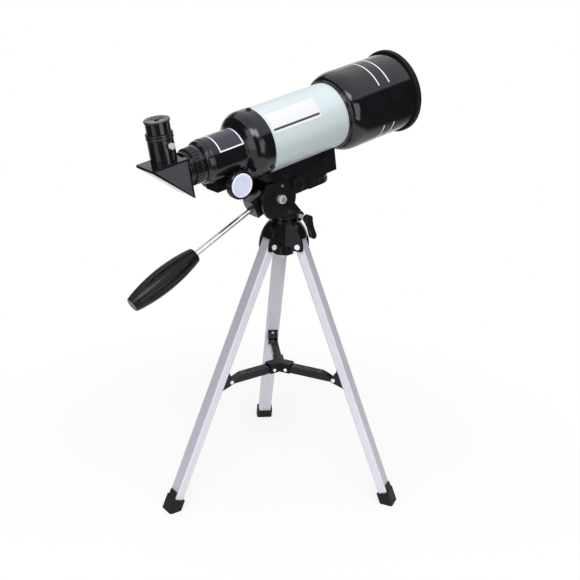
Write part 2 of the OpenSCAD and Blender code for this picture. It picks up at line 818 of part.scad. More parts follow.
module pan_spindle() color(bright) {
  translate([0, 0, core_bottom - spindle_head_height])
    cylinder(d = spindle_hex, h = spindle_head_height, $fn = 6);
  translate([0, 0, core_bottom - over])
    cylinder(r = spindle_radius, h = fork_base_top + spindle_nut_height + over - core_bottom + over);
  translate([0, 0, fork_base_top + pan_gap])
    cylinder(d = spindle_hex, h = spindle_nut_height, $fn = 6);
}

// ---- legs ----

// rounded rectangular bar down the leg between two heights
module leg_bar(width, depth, corner, bottom, top)
  translate([0, 0, bottom]) {
    translate([-depth / 2 + corner, -width / 2, 0])
      cube([depth - 2 * corner, width, top - bottom]);
    translate([-depth / 2, -width / 2 + corner, 0])
      cube([depth, width - 2 * corner, top - bottom]);
    for (x = [-1, 1])
      for (y = [-1, 1])
        translate([x * (depth / 2 - corner), y * (width / 2 - corner), 0])
          cylinder(r = corner, h = top - bottom);
  }

module leg_tube(turn) color(silver)
  on_leg(turn)
    difference() {
      leg_bar(leg_width, leg_depth, leg_corner, -leg_below_pivot, leg_above_pivot);
      leg_bar(leg_width - 2 * leg_wall, leg_depth - 2 * leg_wall, leg_corner - leg_wall,
        -leg_below_pivot - over, leg_above_pivot + over);
      across(pivot_rivet_radius + pin_clearance, leg_width + 2 * over);
    }

module foot_block()
  difference() {
    union() {
      leg_bar(foot_width, foot_depth, 3, -leg_below_pivot - 16, foot_cover - leg_below_pivot);
      translate([leg_depth / 2, -tongue_width / 2, -leg_below_pivot])
        cube([(foot_depth - leg_depth) / 2 - 0.4, tongue_width, foot_cover + tongue_height]);
    }
    leg_bar(leg_width, leg_depth, leg_corner, -leg_below_pivot, foot_cover + over - leg_below_pivot);
  }

module leg_foot(turn) color(matt_black)
  intersection() {
    on_leg(turn) foot_block();
    rotate([0, 0, turn]) translate([0, -foot_width, 0])
      cube([2 * foot_radius, 2 * foot_width, pivot_height / 3]);
  }

// ---- brace ----

bracket_pin = [-pin_inward, -pin_along];
bracket_face = -leg_depth / 2;
ear_high = [bracket_face, bracket_rise - 1.5 - pin_along];
ear_low = [bracket_face, -bracket_fall - pin_along];

module bracket_ear()
  rotate([90, 0, 0]) {
    linear_extrude(cheek)
      polygon([ear_high, tangent(ear_high, bracket_pin, bracket_ear_radius, 1),
        bracket_pin, tangent(ear_low, bracket_pin, bracket_ear_radius, -1), ear_low]);
    translate([bracket_pin[0], bracket_pin[1], 0])
      cylinder(r = bracket_ear_radius, h = cheek);
  }

module leg_bracket(turn) color(gloss_black)
  on_leg(turn)
    difference() {
      union() {
        translate([0, bracket_outer, 0]) bracket_ear();
        translate([0, -bracket_inner, 0]) bracket_ear();
        translate([bracket_face - cheek, -bracket_outer, plate_top - plate_length])
          cube([cheek, 2 * bracket_outer, plate_length]);
      }
      translate([bracket_pin[0], 0, bracket_pin[1]])
        across(brace_pin_radius, 2 * bracket_outer + 2 * over);
    }

plate_top = bracket_rise - pin_along;
plate_length = bracket_rise + plate_fall;

module bracket_rivets(turn) color(bright)
  on_leg(turn) {
    translate([bracket_pin[0], 0, bracket_pin[1]])
      for (side = [0, 180])
        rotate([0, 0, side]) {
          outward(brace_pin_radius, bracket_inner, bracket_outer);
          outward(brace_head_radius, bracket_outer, bracket_outer + brace_head_height);
        }
    translate([bracket_face - cheek - plate_rivet_height, 0, plate_top - 4])
      rotate([0, 90, 0]) cylinder(r = plate_rivet_radius, h = plate_rivet_height);
  }

// puts a part drawn along a brace arm in its place: +X outward from the hub's pin
module on_arm(turn)
  rotate([0, 0, turn]) translate([hub_pin_radius, 0, brace_level]) children();

module brace_arm(turn) color(gloss_black)
  on_arm(turn)
    difference() {
      union() {
        rotate([90, 0, 0]) translate([0, 0, -arm_width / 2])
          linear_extrude(arm_width)
            polygon([[0, -arm_drop], [arm_length - arm_end_gap, -arm_drop],
              [arm_length - arm_end_gap, -0.2], [arm_length - arm_slope * 0.6, arm_rise * 0.6],
              [arm_length - arm_slope, arm_rise], [arm_neck, arm_rise],
              [arm_neck, arm_drop], [0, arm_drop]]);
        across(arm_drop, arm_width);
      }
      across(brace_pin_radius + pin_clearance, arm_width + 2 * over);
      for (y = [-1, 1])
        translate([arm_neck + 4, y * arm_groove - arm_groove / 2, arm_rise - arm_groove_depth])
          cube([arm_length - arm_slope - arm_neck - 8, arm_groove * 0.8, arm_groove_depth + over]);
    }

module brace_hub() color(gloss_black)
  difference() {
    for (turn = leg_turns)
      rotate([0, 0, turn])
        translate([0, -bracket_outer, brace_level - hub_drop])
          cube([hub_reach, 2 * bracket_outer, hub_drop + hub_roof_gap + hub_roof]);
    for (turn = leg_turns)
      rotate([0, 0, turn]) {
        translate([hub_core, -bracket_inner, brace_level - hub_drop - over])
          cube([hub_reach, 2 * bracket_inner, hub_drop + hub_roof_gap + over]);
        translate([hub_pin_radius, 0, brace_level])
          across(brace_pin_radius, 2 * bracket_outer + 2 * over);
      }
  }

module hub_pins() color(bright)
  for (turn = leg_turns)
    on_arm(turn) {
      across(brace_pin_radius, 2 * bracket_outer);
      for (side = [0, 180])
        rotate([0, 0, side])
          outward(brace_head_radius * 0.85, bracket_outer, bracket_outer + brace_head_height);
    }

// ---- pan fork ----

// outline of a fork cheek, drawn in the X and height plane
module cheek_outline() {
  translate([tilt_x, tilt_z])
    intersection() {
      circle(r = fork_rear_radius);
      translate([-fork_rear_radius, fork_bottom - tilt_z])
        square([fork_step_x - tilt_x + fork_rear_radius, fork_step_z - fork_bottom]);
    }
  difference() {
    translate([tilt_x, tilt_z]) circle(r = fork_top_radius);
    translate([tilt_x - fork_rear_radius, fork_bottom - fork_rear_radius])
      square([2 * fork_rear_radius, fork_rear_radius]);
  }
  polygon([[fork_step_x - 6, fork_bottom], [fork_base_rear, fork_bottom],
    [fork_base_rear, fork_base_bottom], [fork_base_front, fork_base_bottom],
    [fork_base_front, fork_base_top - 1], [tilt_x + 18, tilt_z - 5], [tilt_x, tilt_z]]);
}

module pan_fork() color(gloss_black)
  difference() {
    union() {
      for (y = [fork_outer, -fork_half])
        translate([0, y, 0]) rotate([90, 0, 0]) linear_extrude(fork_cheek) cheek_outline();
      translate([fork_base_rear, -fork_outer, fork_base_bottom])
        cube([fork_base_front - fork_base_rear, 2 * fork_outer, fork_base_top - fork_base_bottom]);
      translate([0, 0, collar_top + pan_gap])
        cylinder(r = fork_ring_radius, h = fork_base_top - collar_top - pan_gap);
      translate([lock_x, 0, lock_z])
        outward(lock_boss_radius, fork_half, fork_outer + lock_boss_length);
    }
    cylinder(r = spindle_radius + pin_clearance, h = tilt_z);
    translate([tilt_x, 0, tilt_z]) {
      across(tilt_bolt_radius, 2 * fork_outer + 2 * over);
      outward(nut_recess_radius, fork_outer - nut_recess_depth, fork_outer + over);
      translate([0, 0, stop_screw_rise])
        outward(stop_screw_radius, fork_half - over, fork_outer + over);
    }
    translate([lock_x, 0, lock_z])
      outward(lock_screw_radius + pin_clearance, fork_half - over, lever_start);
  }

module tilt_bolt() color(bright)
  translate([tilt_x, 0, tilt_z]) {
    across(tilt_bolt_radius, 2 * fork_outer);
    outward(tilt_bolt_radius, fork_outer - over, fork_outer + tilt_nut_height + 0.6);
    rotate([0, 0, 180]) outward_hex(tilt_hex, fork_outer, fork_outer + tilt_nut_height);
  }

module tilt_nut() color(bright)
  translate([tilt_x, 0, tilt_z])
    difference() {
      outward_hex(tilt_hex, fork_outer - nut_recess_depth, fork_outer + tilt_nut_height - 0.4);
      across(tilt_bolt_radius, 4 * fork_outer);
    }

module tilt_stop_screw() color(bright)
  translate([tilt_x, 0, tilt_z + stop_screw_rise]) {
    outward(stop_screw_radius, fork_half + 0.4, fork_outer);
    outward(stop_screw_head, fork_outer, fork_outer + 1.2);
  }

module pan_lock_screw() color(bright)
  translate([lock_x, 0, lock_z]) {
    outward(lock_screw_radius, fork_half + 0.4, lever_start);
    outward(lock_screw_radius - 1, lever_start - over, lever_start + lever_thickness - over);
  }

lever_end = [lever_length * sin(lever_turn), -lever_length * cos(lever_turn)];
lever_side = [cos(lever_turn), sin(lever_turn)];

module pan_lock_lever() color(gloss_black)
  difference() {
    translate([lock_x, -lever_start, lock_z]) rotate([90, 0, 0]) {
      cylinder(r = lever_hub, h = lever_thickness);
      translate([lever_end[0], lever_end[1], 0])
        cylinder(r = lever_tip, h = lever_thickness);
      linear_extrude(lever_thickness)
        polygon([lever_hub * 0.9 * lever_side, lever_end * 0.5 + lever_waist * lever_side,
          lever_end + lever_tip * lever_side, lever_end - lever_tip * lever_side,
          lever_end * 0.5 - lever_waist * lever_side, -lever_hub * 0.9 * lever_side]);
    }
    translate([lock_x, 0, lock_z])
      outward(lock_screw_radius - 1, lever_start - over, lever_start + lever_thickness - over);
  }

// ---- tilt head ----

module tilt_body() color(gloss_black)
  difference() {
    union() {
      on_scope() {
        translate([platform_rear, -platform_half_width, platform_bottom])
          cube([platform_step + 2 - platform_rear, 2 * platform_half_width,
            platform_top - platform_bottom]);
        translate([platform_step, -platform_nose, platform_bottom])
          cube([camera_s - platform_step, 2 * platform_nose, platform_top - platform_bottom]);
        translate([camera_s, 0, platform_bottom])
          cylinder(r = platform_nose, h = platform_top - platform_bottom);
      }
      difference() {
        translate([tilt_x, 0, tilt_z]) across(hub_radius, hub_width);
        on_scope() translate([2 * platform_rear, -hub_width, platform_top - hub_step])
          cube([-2 * platform_rear, 2 * hub_width, 2 * hub_width]);
      }
      on_handle()
        intersection() {
          translate([block_start, -block_half_width, -block_fall])
            cube([block_end - block_start, 2 * block_half_width, block_rise + block_fall]);
          along(block_rounding, block_start - over, block_end + over);
        }
    }
    on_handle() along(rod_radius + rod_clearance, block_start + 0.6, block_end + over);
    translate([tilt_x, 0, tilt_z]) across(tilt_bolt_radius + pin_clearance, hub_width + 2 * over);
    on_scope() translate([camera_s, 0, 0]) {
      translate([0, 0, wheel_slot_bottom])
        cylinder(r = wheel_slot_radius, h = wheel_slot_height);
      translate([0, 0, platform_bottom - over])
        cylinder(r = camera_screw_radius + camera_clearance, h = 20);
    }
  }

module camera_screw() color(gloss_black)
  on_scope() translate([camera_s, 0, 0]) {
    translate([0, 0, wheel_slot_bottom + wheel_gap])
      linear_extrude(wheel_slot_height - 2 * wheel_gap)
        polygon(ribs(wheel_radius, 0.5, thumb_ribs));
    translate([0, 0, platform_bottom + 0.5])
      cylinder(r = camera_screw_radius, h = camera_screw_top - platform_bottom - 0.5);
  }

// ---- handle ----

module handle_rod() color(bright)
  on_handle() along(rod_radius, rod_start, grip_start + grip_depth);

grip_length = grip_end - grip_start;

module handle_grip() color(matt_black)
  on_handle()
    difference() {
      lathe_along(concat([[0, grip_start], [grip_front_radius - 0.8, grip_start]],
        [for (i = [0 : 12]) let (part = i / 12)
          let (ends = grip_front_radius + (grip_rear_radius - grip_front_radius) * part)
          [ends + (grip_radius - ends) * pow(sin(180 * part), 0.8),
            grip_start + 0.8 + (grip_length - 1.6) * part]],
        [[grip_rear_radius - 0.8, grip_end], [0, grip_end]]));
      along(rod_radius, grip_start - over, grip_start + grip_depth);
      for (i = [0 : 7])
        rotate([22.5 + 45 * i, 0, 0])
          translate([grip_start + 8, -flute_width / 2, flute_radius])
            cube([grip_length - 16, flute_width, 4]);
    }

// ---- foot under the tube ----

module mount_foot() color(gloss_black)
  on_scope()
    difference() {
      union() {
        translate([foot_rear, -foot_half_width, platform_top])
          cube([foot_front - foot_rear, 2 * foot_half_width, saddle_top - platform_top]);
        translate([flange_rear, -foot_half_width, flange_bottom])
          cube([foot_rear - flange_rear + over, 2 * foot_half_width, saddle_top - flange_bottom]);
      }
      along(tube_radius, flange_rear - over, foot_front + over);
      translate([camera_s, 0, platform_top - over])
        cylinder(r = camera_screw_radius + camera_clearance,
          h = camera_screw_top - platform_top + 2 * over);
      translate([side_knob_s, 0, side_knob_w])
        outward(side_screw_radius + side_clearance, side_screw_end - over, foot_half_width + over);
      for (s = [foot_bolt_rear, foot_bolt_front])
        translate([s, 0, foot_bolt_end - over])
          cylinder(r = foot_bolt_radius + bolt_clearance, h = 20);
    }

module foot_bolts() color(bright)
  on_scope()
    for (s = [foot_bolt_rear, foot_bolt_front])
      translate([s, 0, 0]) {
        translate([0, 0, foot_bolt_end])
          cylinder(r = foot_bolt_radius, h = bolt_seat + over - foot_bolt_end);
        translate([0, 0, bolt_seat])
          cylinder(r = foot_bolt_head, h = foot_bolt_head_height);
      }

module side_knob() color(gloss_black)
  on_scope() translate([side_knob_s, 0, side_knob_w])
    difference() {
      union() {
        outward(side_screw_radius, side_screw_end, side_knob_start + over);
        outward(side_knob_radius, side_knob_start, side_knob_start + side_knob_thickness);
      }
      outward(side_knob_radius - 2, side_knob_start + side_knob_thickness - 1.2,
        side_knob_start + side_knob_thickness + over);
    }

// ---- telescope tube ----

// three radial places round the rear of the tube
module at_tube_screws()
  for (turn = [0, 120, 240])
    translate([tube_screw_s, 0, 0]) rotate([tube_screw_turn + turn, 0, 0]) children();

module main_tube() color(pale_green)
  on_scope()
    difference() {
      lathe_along([[tube_bore, tube_rear], [tube_radius, tube_rear],
        [tube_radius, tube_front], [tube_bore, tube_front]]);
      for (s = [foot_bolt_rear, foot_bolt_front])
        translate([s, 0, -tube_radius - over])
          cylinder(r = foot_bolt_radius + bolt_clearance, h = 10);
      at_tube_screws()
        translate([0, 0, tube_bore - 2])
          cylinder(r = tube_screw_radius + bolt_clearance, h = 6);
    }

module tube_baffle() color(matt_black)
  on_scope()
    lathe_along([[baffle_hole, baffle_s], [tube_bore, baffle_s], [tube_bore, baffle_s + baffle_rim],
      [tube_bore - baffle_wall, baffle_s + baffle_rim], [tube_bore - baffle_wall, baffle_s + baffle_wall],
      [baffle_hole, baffle_s + baffle_wall]]);

module dew_shield() color(gloss_black)
  on_scope()
    lathe_along(concat(
      [[tube_radius + cover_fit, sleeve_rear], [sleeve_radius - 0.9, sleeve_rear],
        [sleeve_radius, sleeve_rear + 1.2]],
      [for (i = [0 : 10]) let (turn = 9 * i)
        [sleeve_radius + (shield_radius - sleeve_radius) * sin(turn),
          shoulder_end - (shoulder_end - shoulder_start) * cos(turn)]],
      [[shield_radius, shield_front], [shield_inner, shield_front],
        [shield_inner, shield_bore_start],
        [shield_step_radius, shield_step + 1.5], [shield_step_radius, shield_step],
        [tube_radius + cover_fit, shield_step]]));

module shield_rim() color(matt_black)
  on_scope()
    lathe_along([[rim_inner_radius, rim_sleeve_rear], [shield_inner, rim_sleeve_rear],
      [shield_inner, shield_front], [rim_radius - rim_chamfer / 2, shield_front],
      [rim_radius, shield_front + rim_chamfer / 2], [rim_radius, rim_front - 1.6 * rim_chamfer],
      [rim_radius - 1.4 * rim_chamfer, rim_front], [rim_inner_radius + rim_chamfer, rim_front],
      [rim_inner_radius, rim_front - rim_chamfer]]);

// ---- objective ----

module objective_cell() color(matt_black)
  on_scope()
    lathe_along([[cell_lip_radius, cell_rear], [tube_bore - cover_fit, cell_rear],
      [tube_bore - cover_fit, tube_front], [cell_flange_radius, tube_front],
      [cell_flange_radius, tube_front + cell_flange],
      [lens_radius + lens_fit, tube_front + cell_flange], [lens_radius + lens_fit, lens_seat],
      [cell_lip_radius, lens_seat]]);

lens_reach = lens_radius - lens_land;

module objective_rear_lens() color(clear)
  on_scope()
    lathe_along(concat([[0, lens_seat], [lens_radius, lens_seat], [lens_radius, lens_inner_edge],
      [lens_reach, lens_inner_edge]],
      [for (i = [11 : -1 : 0]) let (at = lens_reach * i / 12)
        [at, lens_inner_edge - bulge(lens_inner_sag + lens_air_gap, lens_reach, at)]]));

module objective_front_lens() color(clear)
  on_scope()
    lathe_along(concat(
      [for (i = [0 : 11]) let (at = lens_reach * i / 12)
        [at, lens_inner_edge - bulge(lens_inner_sag, lens_reach, at)]],
      [[lens_reach, lens_inner_edge], [lens_radius, lens_inner_edge],
        [lens_radius, lens_front_edge], [lens_reach, lens_front_edge]],
      [for (i = [11 : -1 : 0]) let (at = lens_reach * i / 12)
        [at, lens_front_edge + bulge(lens_outer_sag, lens_reach, at)]]));

module lens_keeper() color(matt_black)
  on_scope()
    lathe_along([[lens_reach, lens_front_edge], [lens_radius, lens_front_edge],
      [lens_radius, lens_front_edge + keeper_length], [lens_reach, lens_front_edge + keeper_length]]);

// ---- focuser ----

// outside of the focuser's cap and body, from front to rear
focuser_outline = [[cap_radius - 0.4, cap_front], [cap_radius, cap_front - 0.5],
  [cap_radius, cap_bend], [cap_radius - 0.4, cap_bend - 3],
  [cap_radius - 1.9, cap_bend - 6.5], [cap_radius - 4, cap_bend - 9.8],
  [cap_radius - 7.4, cap_bend - 12.6], [cap_radius - 10.9, cap_bend - 14.6],
  [body_radius, body_front], [body_radius, body_rear + body_rounding + 0.4],
  [body_radius - 0.5, body_rear + body_rounding],
  [(body_radius + body_rear_radius) / 2 + 0.6, body_rear + body_rounding * 0.35],
  [body_rear_radius, body_rear]];

module focuser_body() color(gloss_black)
  on_scope()
    difference() {
      lathe_along(concat([[tube_radius + cover_fit, cap_front]], focuser_outline,
        [[draw_radius + draw_clearance, body_rear], [draw_radius + draw_clearance, body_front + 3],
          [tube_radius - 10.5, body_front + 5], [tube_radius - 4.5, cap_bend - 7],
          [tube_radius - 2, cap_bend - 2], [tube_radius - 1.5, tube_rear],
          [tube_radius + cover_fit, tube_rear]]));
      translate([body_rear - over, -rack_way / 2, pinion_w + 2])
        cube([body_front + 8 - body_rear, rack_way, -pinion_w - 10]);
      at_tube_screws() {
        translate([0, 0, tube_bore])
          cylinder(r = tube_screw_radius + bolt_clearance, h = 6);
        translate([0, 0, screw_seat])
          cylinder(r = tube_screw_head + bolt_clearance, h = 6);
      }
    }

module tube_screws() color(matt_black)
  on_scope()
    at_tube_screws() {
      translate([0, 0, tube_bore - 0.6])
        cylinder(r = tube_screw_radius, h = screw_seat - tube_bore + over);
      translate([0, 0, screw_seat])
        cylinder(r = tube_screw_head, h = tube_screw_head_height);
    }

module pinion_housing() color(gloss_black)
  on_scope()
    difference() {
      translate([pinion_box_rear, -pinion_box_half_width, pinion_box_bottom])
        cube([pinion_box_front - pinion_box_rear, 2 * pinion_box_half_width,
          -pinion_box_bottom - body_radius * 0.8]);
      lathe_along(concat([[0, cap_front]], focuser_outline, [[0, body_rear]]));
      translate([pinion_box_rear - over, -rack_way / 2, pinion_w + 2])
        cube([pinion_box_front - pinion_box_rear + 2 * over, rack_way, 20]);
      translate([pinion_s, 0, pinion_w]) {
        across(pinion_cavity, pinion_width + 1);
        across(pinion_shaft_radius + pin_clearance, 2 * pinion_box_half_width + 2 * over);
      }
    }

// one pinion tooth's outline, from root to root
function pinion_flank(side) =
  let (base = pinion_pitch * cos(pressure_angle))
  let (half = 90 / pinion_teeth * (1 - tooth_play) + involute(pressure_angle))
  [for (i = [0 : 4]) let (reach = base + (pinion_pitch + tooth_top - base) * i / 4)
    let (turn = side * (half - involute(acos(base / reach))))
    [reach, turn]];

function reversed(list) = [for (i = [len(list) - 1 : -1 : 0]) list[i]];

function pinion_outline() =
  [for (i = [0 : pinion_teeth - 1])
    let (flank = pinion_flank(-1))
    let (tooth = concat([[pinion_pitch - tooth_root, flank[0][1]]], flank,
      reversed(pinion_flank(1)), [[pinion_pitch - tooth_root, -flank[0][1]]]))
    for (p = tooth)
      p[0] * [cos(90 + i * 360 / pinion_teeth + p[1]), sin(90 + i * 360 / pinion_teeth + p[1])]];

module pinion_shaft() color(bright)
  on_scope() translate([pinion_s, 0, pinion_w]) {
    translate([0, pinion_width / 2, 0]) rotate([90, 0, 0])
      linear_extrude(pinion_width) polygon(pinion_outline());
    across(pinion_shaft_radius, 2 * knob_cap_seat);
  }

module focus_knob(side) color(gloss_black)
  on_scope() translate([pinion_s, 0, pinion_w]) rotate([0, 0, side])
    difference() {
      union() {
        outward(knob_hub_radius, pinion_box_half_width + shoulder_gap, knob_start + over);
        rotate([90, 0, 0]) {
          lathe([[0, knob_start], [knob_inner_radius, knob_start],
            [knob_radius - knob_rib, knob_start + knob_slope],
            [knob_radius - knob_rib, knob_end - 0.6], [knob_radius - knob_rib - 0.6, knob_end],
            [0, knob_end]]);
          translate([0, 0, knob_start + knob_slope + 0.4])
            linear_extrude(knob_end - knob_start - knob_slope - 1.4)
              polygon(ribs(knob_radius, knob_rib, knob_ribs));
        }
      }
      outward(pinion_shaft_radius, 0, knob_end);
      outward(knob_cap_radius, knob_cap_seat, knob_end + over);
    }

module focus_knob_caps() color(pale_cap)
  on_scope() translate([pinion_s, 0, pinion_w])
    for (side = [0, 180])
      rotate([0, 0, side]) rotate([90, 0, 0])
        lathe([[0, knob_cap_seat], [knob_cap_radius, knob_cap_seat],
          [knob_cap_radius, knob_cap_top - 0.4], [knob_cap_radius - 0.4, knob_cap_top],
          [knob_cap_radius - knob_cap_rim, knob_cap_top],
          [knob_cap_radius - knob_cap_rim - 0.4, knob_cap_top - knob_cap_dish],
          [0, knob_cap_top - knob_cap_dish]]);

// ---- drawtube ----

rack_teeth = 38;
rack_first = -4;

// outline of the rack in the along and up plane
function rack_outline() =
  let (line = -rack_pitch_line)
  let (half = tooth_pitch / 4 * (1 - tooth_play))
  let (lean = tan(pressure_angle))
  concat([[pinion_s + (rack_first + 0.04) * tooth_pitch, -draw_radius + 0.4]],
    [for (i = [0 : rack_teeth - 1]) let (mid = pinion_s + (rack_first + i + 0.5) * tooth_pitch)
      for (p = [[-half - tooth_root * lean, tooth_root], [-half + tooth_top * lean, -tooth_top],
        [half - tooth_top * lean, -tooth_top], [half + tooth_root * lean, tooth_root]])
        [mid + p[0], line + p[1]]],
    [[pinion_s + (rack_first + rack_teeth - 0.04) * tooth_pitch, -draw_radius + 0.4]]);

module drawtube() color(matt_black)
  on_scope() {
    lathe_along([[draw_bore, draw_rear], [draw_radius, draw_rear],
      [draw_radius, draw_front], [draw_bore, draw_front]]);
    translate([0, rack_width / 2, 0]) rotate([90, 0, 0])
      linear_extrude(rack_width) polygon(rack_outline());
  }

module drawtube_collar() color(gloss_black)
  on_scope()
    difference() {
      union() {
        lathe_along([[0, collar_rear], [collar_step_radius - 0.5, collar_rear],
          [collar_step_radius, collar_rear + 0.5], [collar_step_radius, rib_rear + 0.3],
          [collar_knurl_radius - collar_knurl_depth, rib_rear + 0.3],
          [collar_knurl_radius - collar_knurl_depth, rib_front],
          [collar_band_radius - 0.5, rib_front], [collar_band_radius, rib_front + 0.5],
          [collar_band_radius, draw_rear - 0.5], [collar_band_radius - 0.5, draw_rear],
          [draw_bore, draw_rear], [draw_bore, draw_rear + collar_spigot],
          [0, draw_rear + collar_spigot]]);
        rotate([0, 90, 0]) translate([0, 0, rib_rear])
          linear_extrude(rib_front + over - rib_rear)
            polygon(ribs(collar_knurl_radius, collar_knurl_depth, collar_ribs));
      }
      along(collar_bore, collar_rear - over, draw_rear + collar_spigot + over);
    }

// ---- diagonal ----

module diagonal_nose() color(gloss_black)
  on_scope()
    lathe_along([[nose_bore, prism_front], [nose_shoulder_radius - 0.5, prism_front],
      [nose_shoulder_radius, prism_front + 0.5], [nose_shoulder_radius, shoulder_front - 0.5],
      [nose_shoulder_radius - 0.5, shoulder_front], [nose_radius, shoulder_front],
      [nose_radius, nose_front + 0.8], [nose_radius - 0.8, nose_front], [nose_bore, nose_front]]);

// three cornered outline of the housing, inset by a distance from its straight faces
function prism_outline(inset, slope) =
  [[prism_front - inset, prism_top - inset], [slope - prism_top + inset, prism_top - inset],
    [prism_front - inset, slope - prism_front + inset]];

module prism_block(points, half_width)
  translate([0, half_width, 0]) rotate([90, 0, 0]) linear_extrude(2 * half_width) polygon(points);

module diagonal_housing() color(gloss_black)
  on_scope()
    difference() {
      union() {
        prism_block(prism_outline(0, prism_slope), prism_half_width);
        translate([eyepiece_s, 0, 0])
          lathe([[0, prism_top - over], [holder_radius, prism_top - over],
            [holder_radius, holder_rim_start], [holder_rim_radius, holder_rim_start + 0.6],
            [holder_rim_radius, holder_rim_start + 2], [holder_radius, holder_rim_start + 2.6],
            [holder_radius, holder_rim_start + 3.4], [holder_rim_radius, holder_rim_start + 4],
            [holder_rim_radius, holder_top - 0.5], [holder_rim_radius - 0.5, holder_top],
            [0, holder_top]]);
        translate([eyepiece_s, 0, set_screw_w]) rotate([0, 0, set_screw_turn + 90])
          outward(set_screw_boss, holder_radius - 2, set_screw_start - pin_clearance);
      }
      prism_block(prism_outline(prism_wall, prism_slope), prism_half_width - prism_wall);
      along(nose_bore, prism_front - prism_wall - over, prism_front + over);
      translate([eyepiece_s, 0, 0]) {
        cylinder(r = nose_bore, h = holder_top);
        translate([0, 0, holder_ledge])
          cylinder(r = holder_bore, h = holder_top - holder_ledge + over);
        translate([0, 0, set_screw_w]) rotate([0, 0, set_screw_turn + 90])
          outward(set_screw_radius + pin_clearance, holder_bore - over, set_screw_start);
      }
      for (side = [-1, 1])
        translate([0, side * (prism_half_width - panel_depth / 2), 0])
          prism_block(prism_outline(panel_border, prism_slope + sqrt(2) * panel_border),
            panel_depth / 2 + 0.001);
    }

slope_rear = prism_slope - prism_top;
slope_bottom = prism_slope - prism_front;

module diagonal_cover() color(gloss_black)
  on_scope()
    prism_block([[prism_front, slope_bottom], [slope_rear, prism_top],
      [slope_rear - cover_depth, prism_top], [slope_rear - cover_depth, prism_top - cover_edge],
      [prism_front - 1, slope_bottom - cover_depth], [prism_front, slope_bottom - cover_depth]],
      prism_half_width);

// puts a part drawn on the sloping face in its place: +Z out of the slope, +X up along it
module on_slope(at)
  on_scope() translate([at[0], 0, at[1]]) rotate([0, -135, 0]) children();

mirror_thickness = (mirror_face - prism_slope) / sqrt(2);
mirror_middle = [eyepiece_s + (prism_slope - mirror_face) / 2, (prism_slope - mirror_face) / 2];

module diagonal_mirror() color(bright)
  on_slope(mirror_middle)
    translate([-mirror_half_length, -mirror_half_width, -mirror_thickness])
      cube([2 * mirror_half_length, 2 * mirror_half_width, mirror_thickness]);

module set_screw() color(bright)
  on_eyepiece() translate([0, 0, set_screw_w]) rotate([0, 0, set_screw_turn + 90]) {
    outward(set_screw_radius, holder_bore, set_screw_start + over);
    translate([0, -set_screw_start, 0]) rotate([90, 0, 0])
      linear_extrude(set_screw_end - set_screw_start)
        polygon(ribs(set_screw_head, 0.3, 20));
  }

// ---- eyepiece ----

module eyepiece_barrel() color(gloss_black)
  on_eyepiece()
    lathe([[barrel_bore, holder_ledge], [barrel_radius, holder_ledge],
      [barrel_radius, holder_top + barrel_clearance], [neck_radius, holder_top + barrel_clearance],
      [neck_radius, barrel_top], [barrel_bore, barrel_top], [barrel_bore, field_ledge + 1.5],
      [field_stop, field_ledge + 1.5],
      [field_stop, field_ledge], [barrel_bore, field_ledge]]);

module eyepiece_top() color(gloss_black)
  on_eyepiece()
    lathe([[eye_lens_radius, barrel_top - eye_spigot], [barrel_bore, barrel_top - eye_spigot],
      [barrel_bore, barrel_top], [eye_radius - 0.4, barrel_top], [eye_radius, barrel_top + 0.4],
      [eye_radius, barrel_top + eye_thickness - 0.4],
      [eye_radius - 0.4, barrel_top + eye_thickness], [eye_dish_radius, barrel_top + eye_thickness],
      [eye_hole, barrel_top + eye_thickness - eye_dish], [eye_hole, barrel_top],
      [eye_lens_radius, barrel_top - 1]]);

module eyepiece_lenses() color(clear)
  on_eyepiece() {
    lathe([[0, field_ledge - 3.6], [5, field_ledge - 3.3], [barrel_bore, field_ledge - 2],
      [barrel_bore, field_ledge], [0, field_ledge]]);
    lathe([[0, barrel_top - 4.2], [3, barrel_top - 4], [eye_lens_radius, barrel_top - 3],
      [eye_lens_radius, barrel_top - 1], [eye_hole + 0.4, barrel_top - 0.3], [0, barrel_top - 0.3]]);
  }

crown();
leg_pivot_rivets();
pan_spindle();
leg_tube(leg_turns[0]);  // leg_tube_left
leg_tube(leg_turns[1]);  // leg_tube_right
leg_tube(leg_turns[2]);  // leg_tube_back
leg_foot(leg_turns[0]);  // leg_foot_left
leg_foot(leg_turns[1]);  // leg_foot_right
leg_foot(leg_turns[2]);  // leg_foot_back
leg_bracket(leg_turns[0]);  // leg_bracket_left
leg_bracket(leg_turns[1]);  // leg_bracket_right
leg_bracket(leg_turns[2]);  // leg_bracket_back
bracket_rivets(leg_turns[0]);  // bracket_rivets_left
bracket_rivets(leg_turns[1]);  // bracket_rivets_right
bracket_rivets(leg_turns[2]);  // bracket_rivets_back
brace_arm(leg_turns[0]);  // brace_arm_left
brace_arm(leg_turns[1]);  // brace_arm_right
brace_arm(leg_turns[2]);  // brace_arm_back
brace_hub();
hub_pins();
pan_fork();
tilt_bolt();
tilt_nut();
tilt_stop_screw();
pan_lock_screw();
pan_lock_lever();
tilt_body();
camera_screw();
handle_rod();
handle_grip();
mount_foot();
foot_bolts();
side_knob();
main_tube();
tube_baffle();
dew_shield();
shield_rim();
objective_cell();
objective_rear_lens();
objective_front_lens();
lens_keeper();
focuser_body();
tube_screws();
pinion_housing();
pinion_shaft();
focus_knob(0);  // focus_knob_near
focus_knob(180);  // focus_knob_far
focus_knob_caps();
drawtube();
drawtube_collar();
diagonal_nose();
diagonal_housing();
diagonal_cover();
diagonal_mirror();
set_screw();
eyepiece_barrel();
eyepiece_top();
eyepiece_lenses();
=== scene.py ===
import math
import bpy
import bmesh
from mathutils import Matrix, Vector


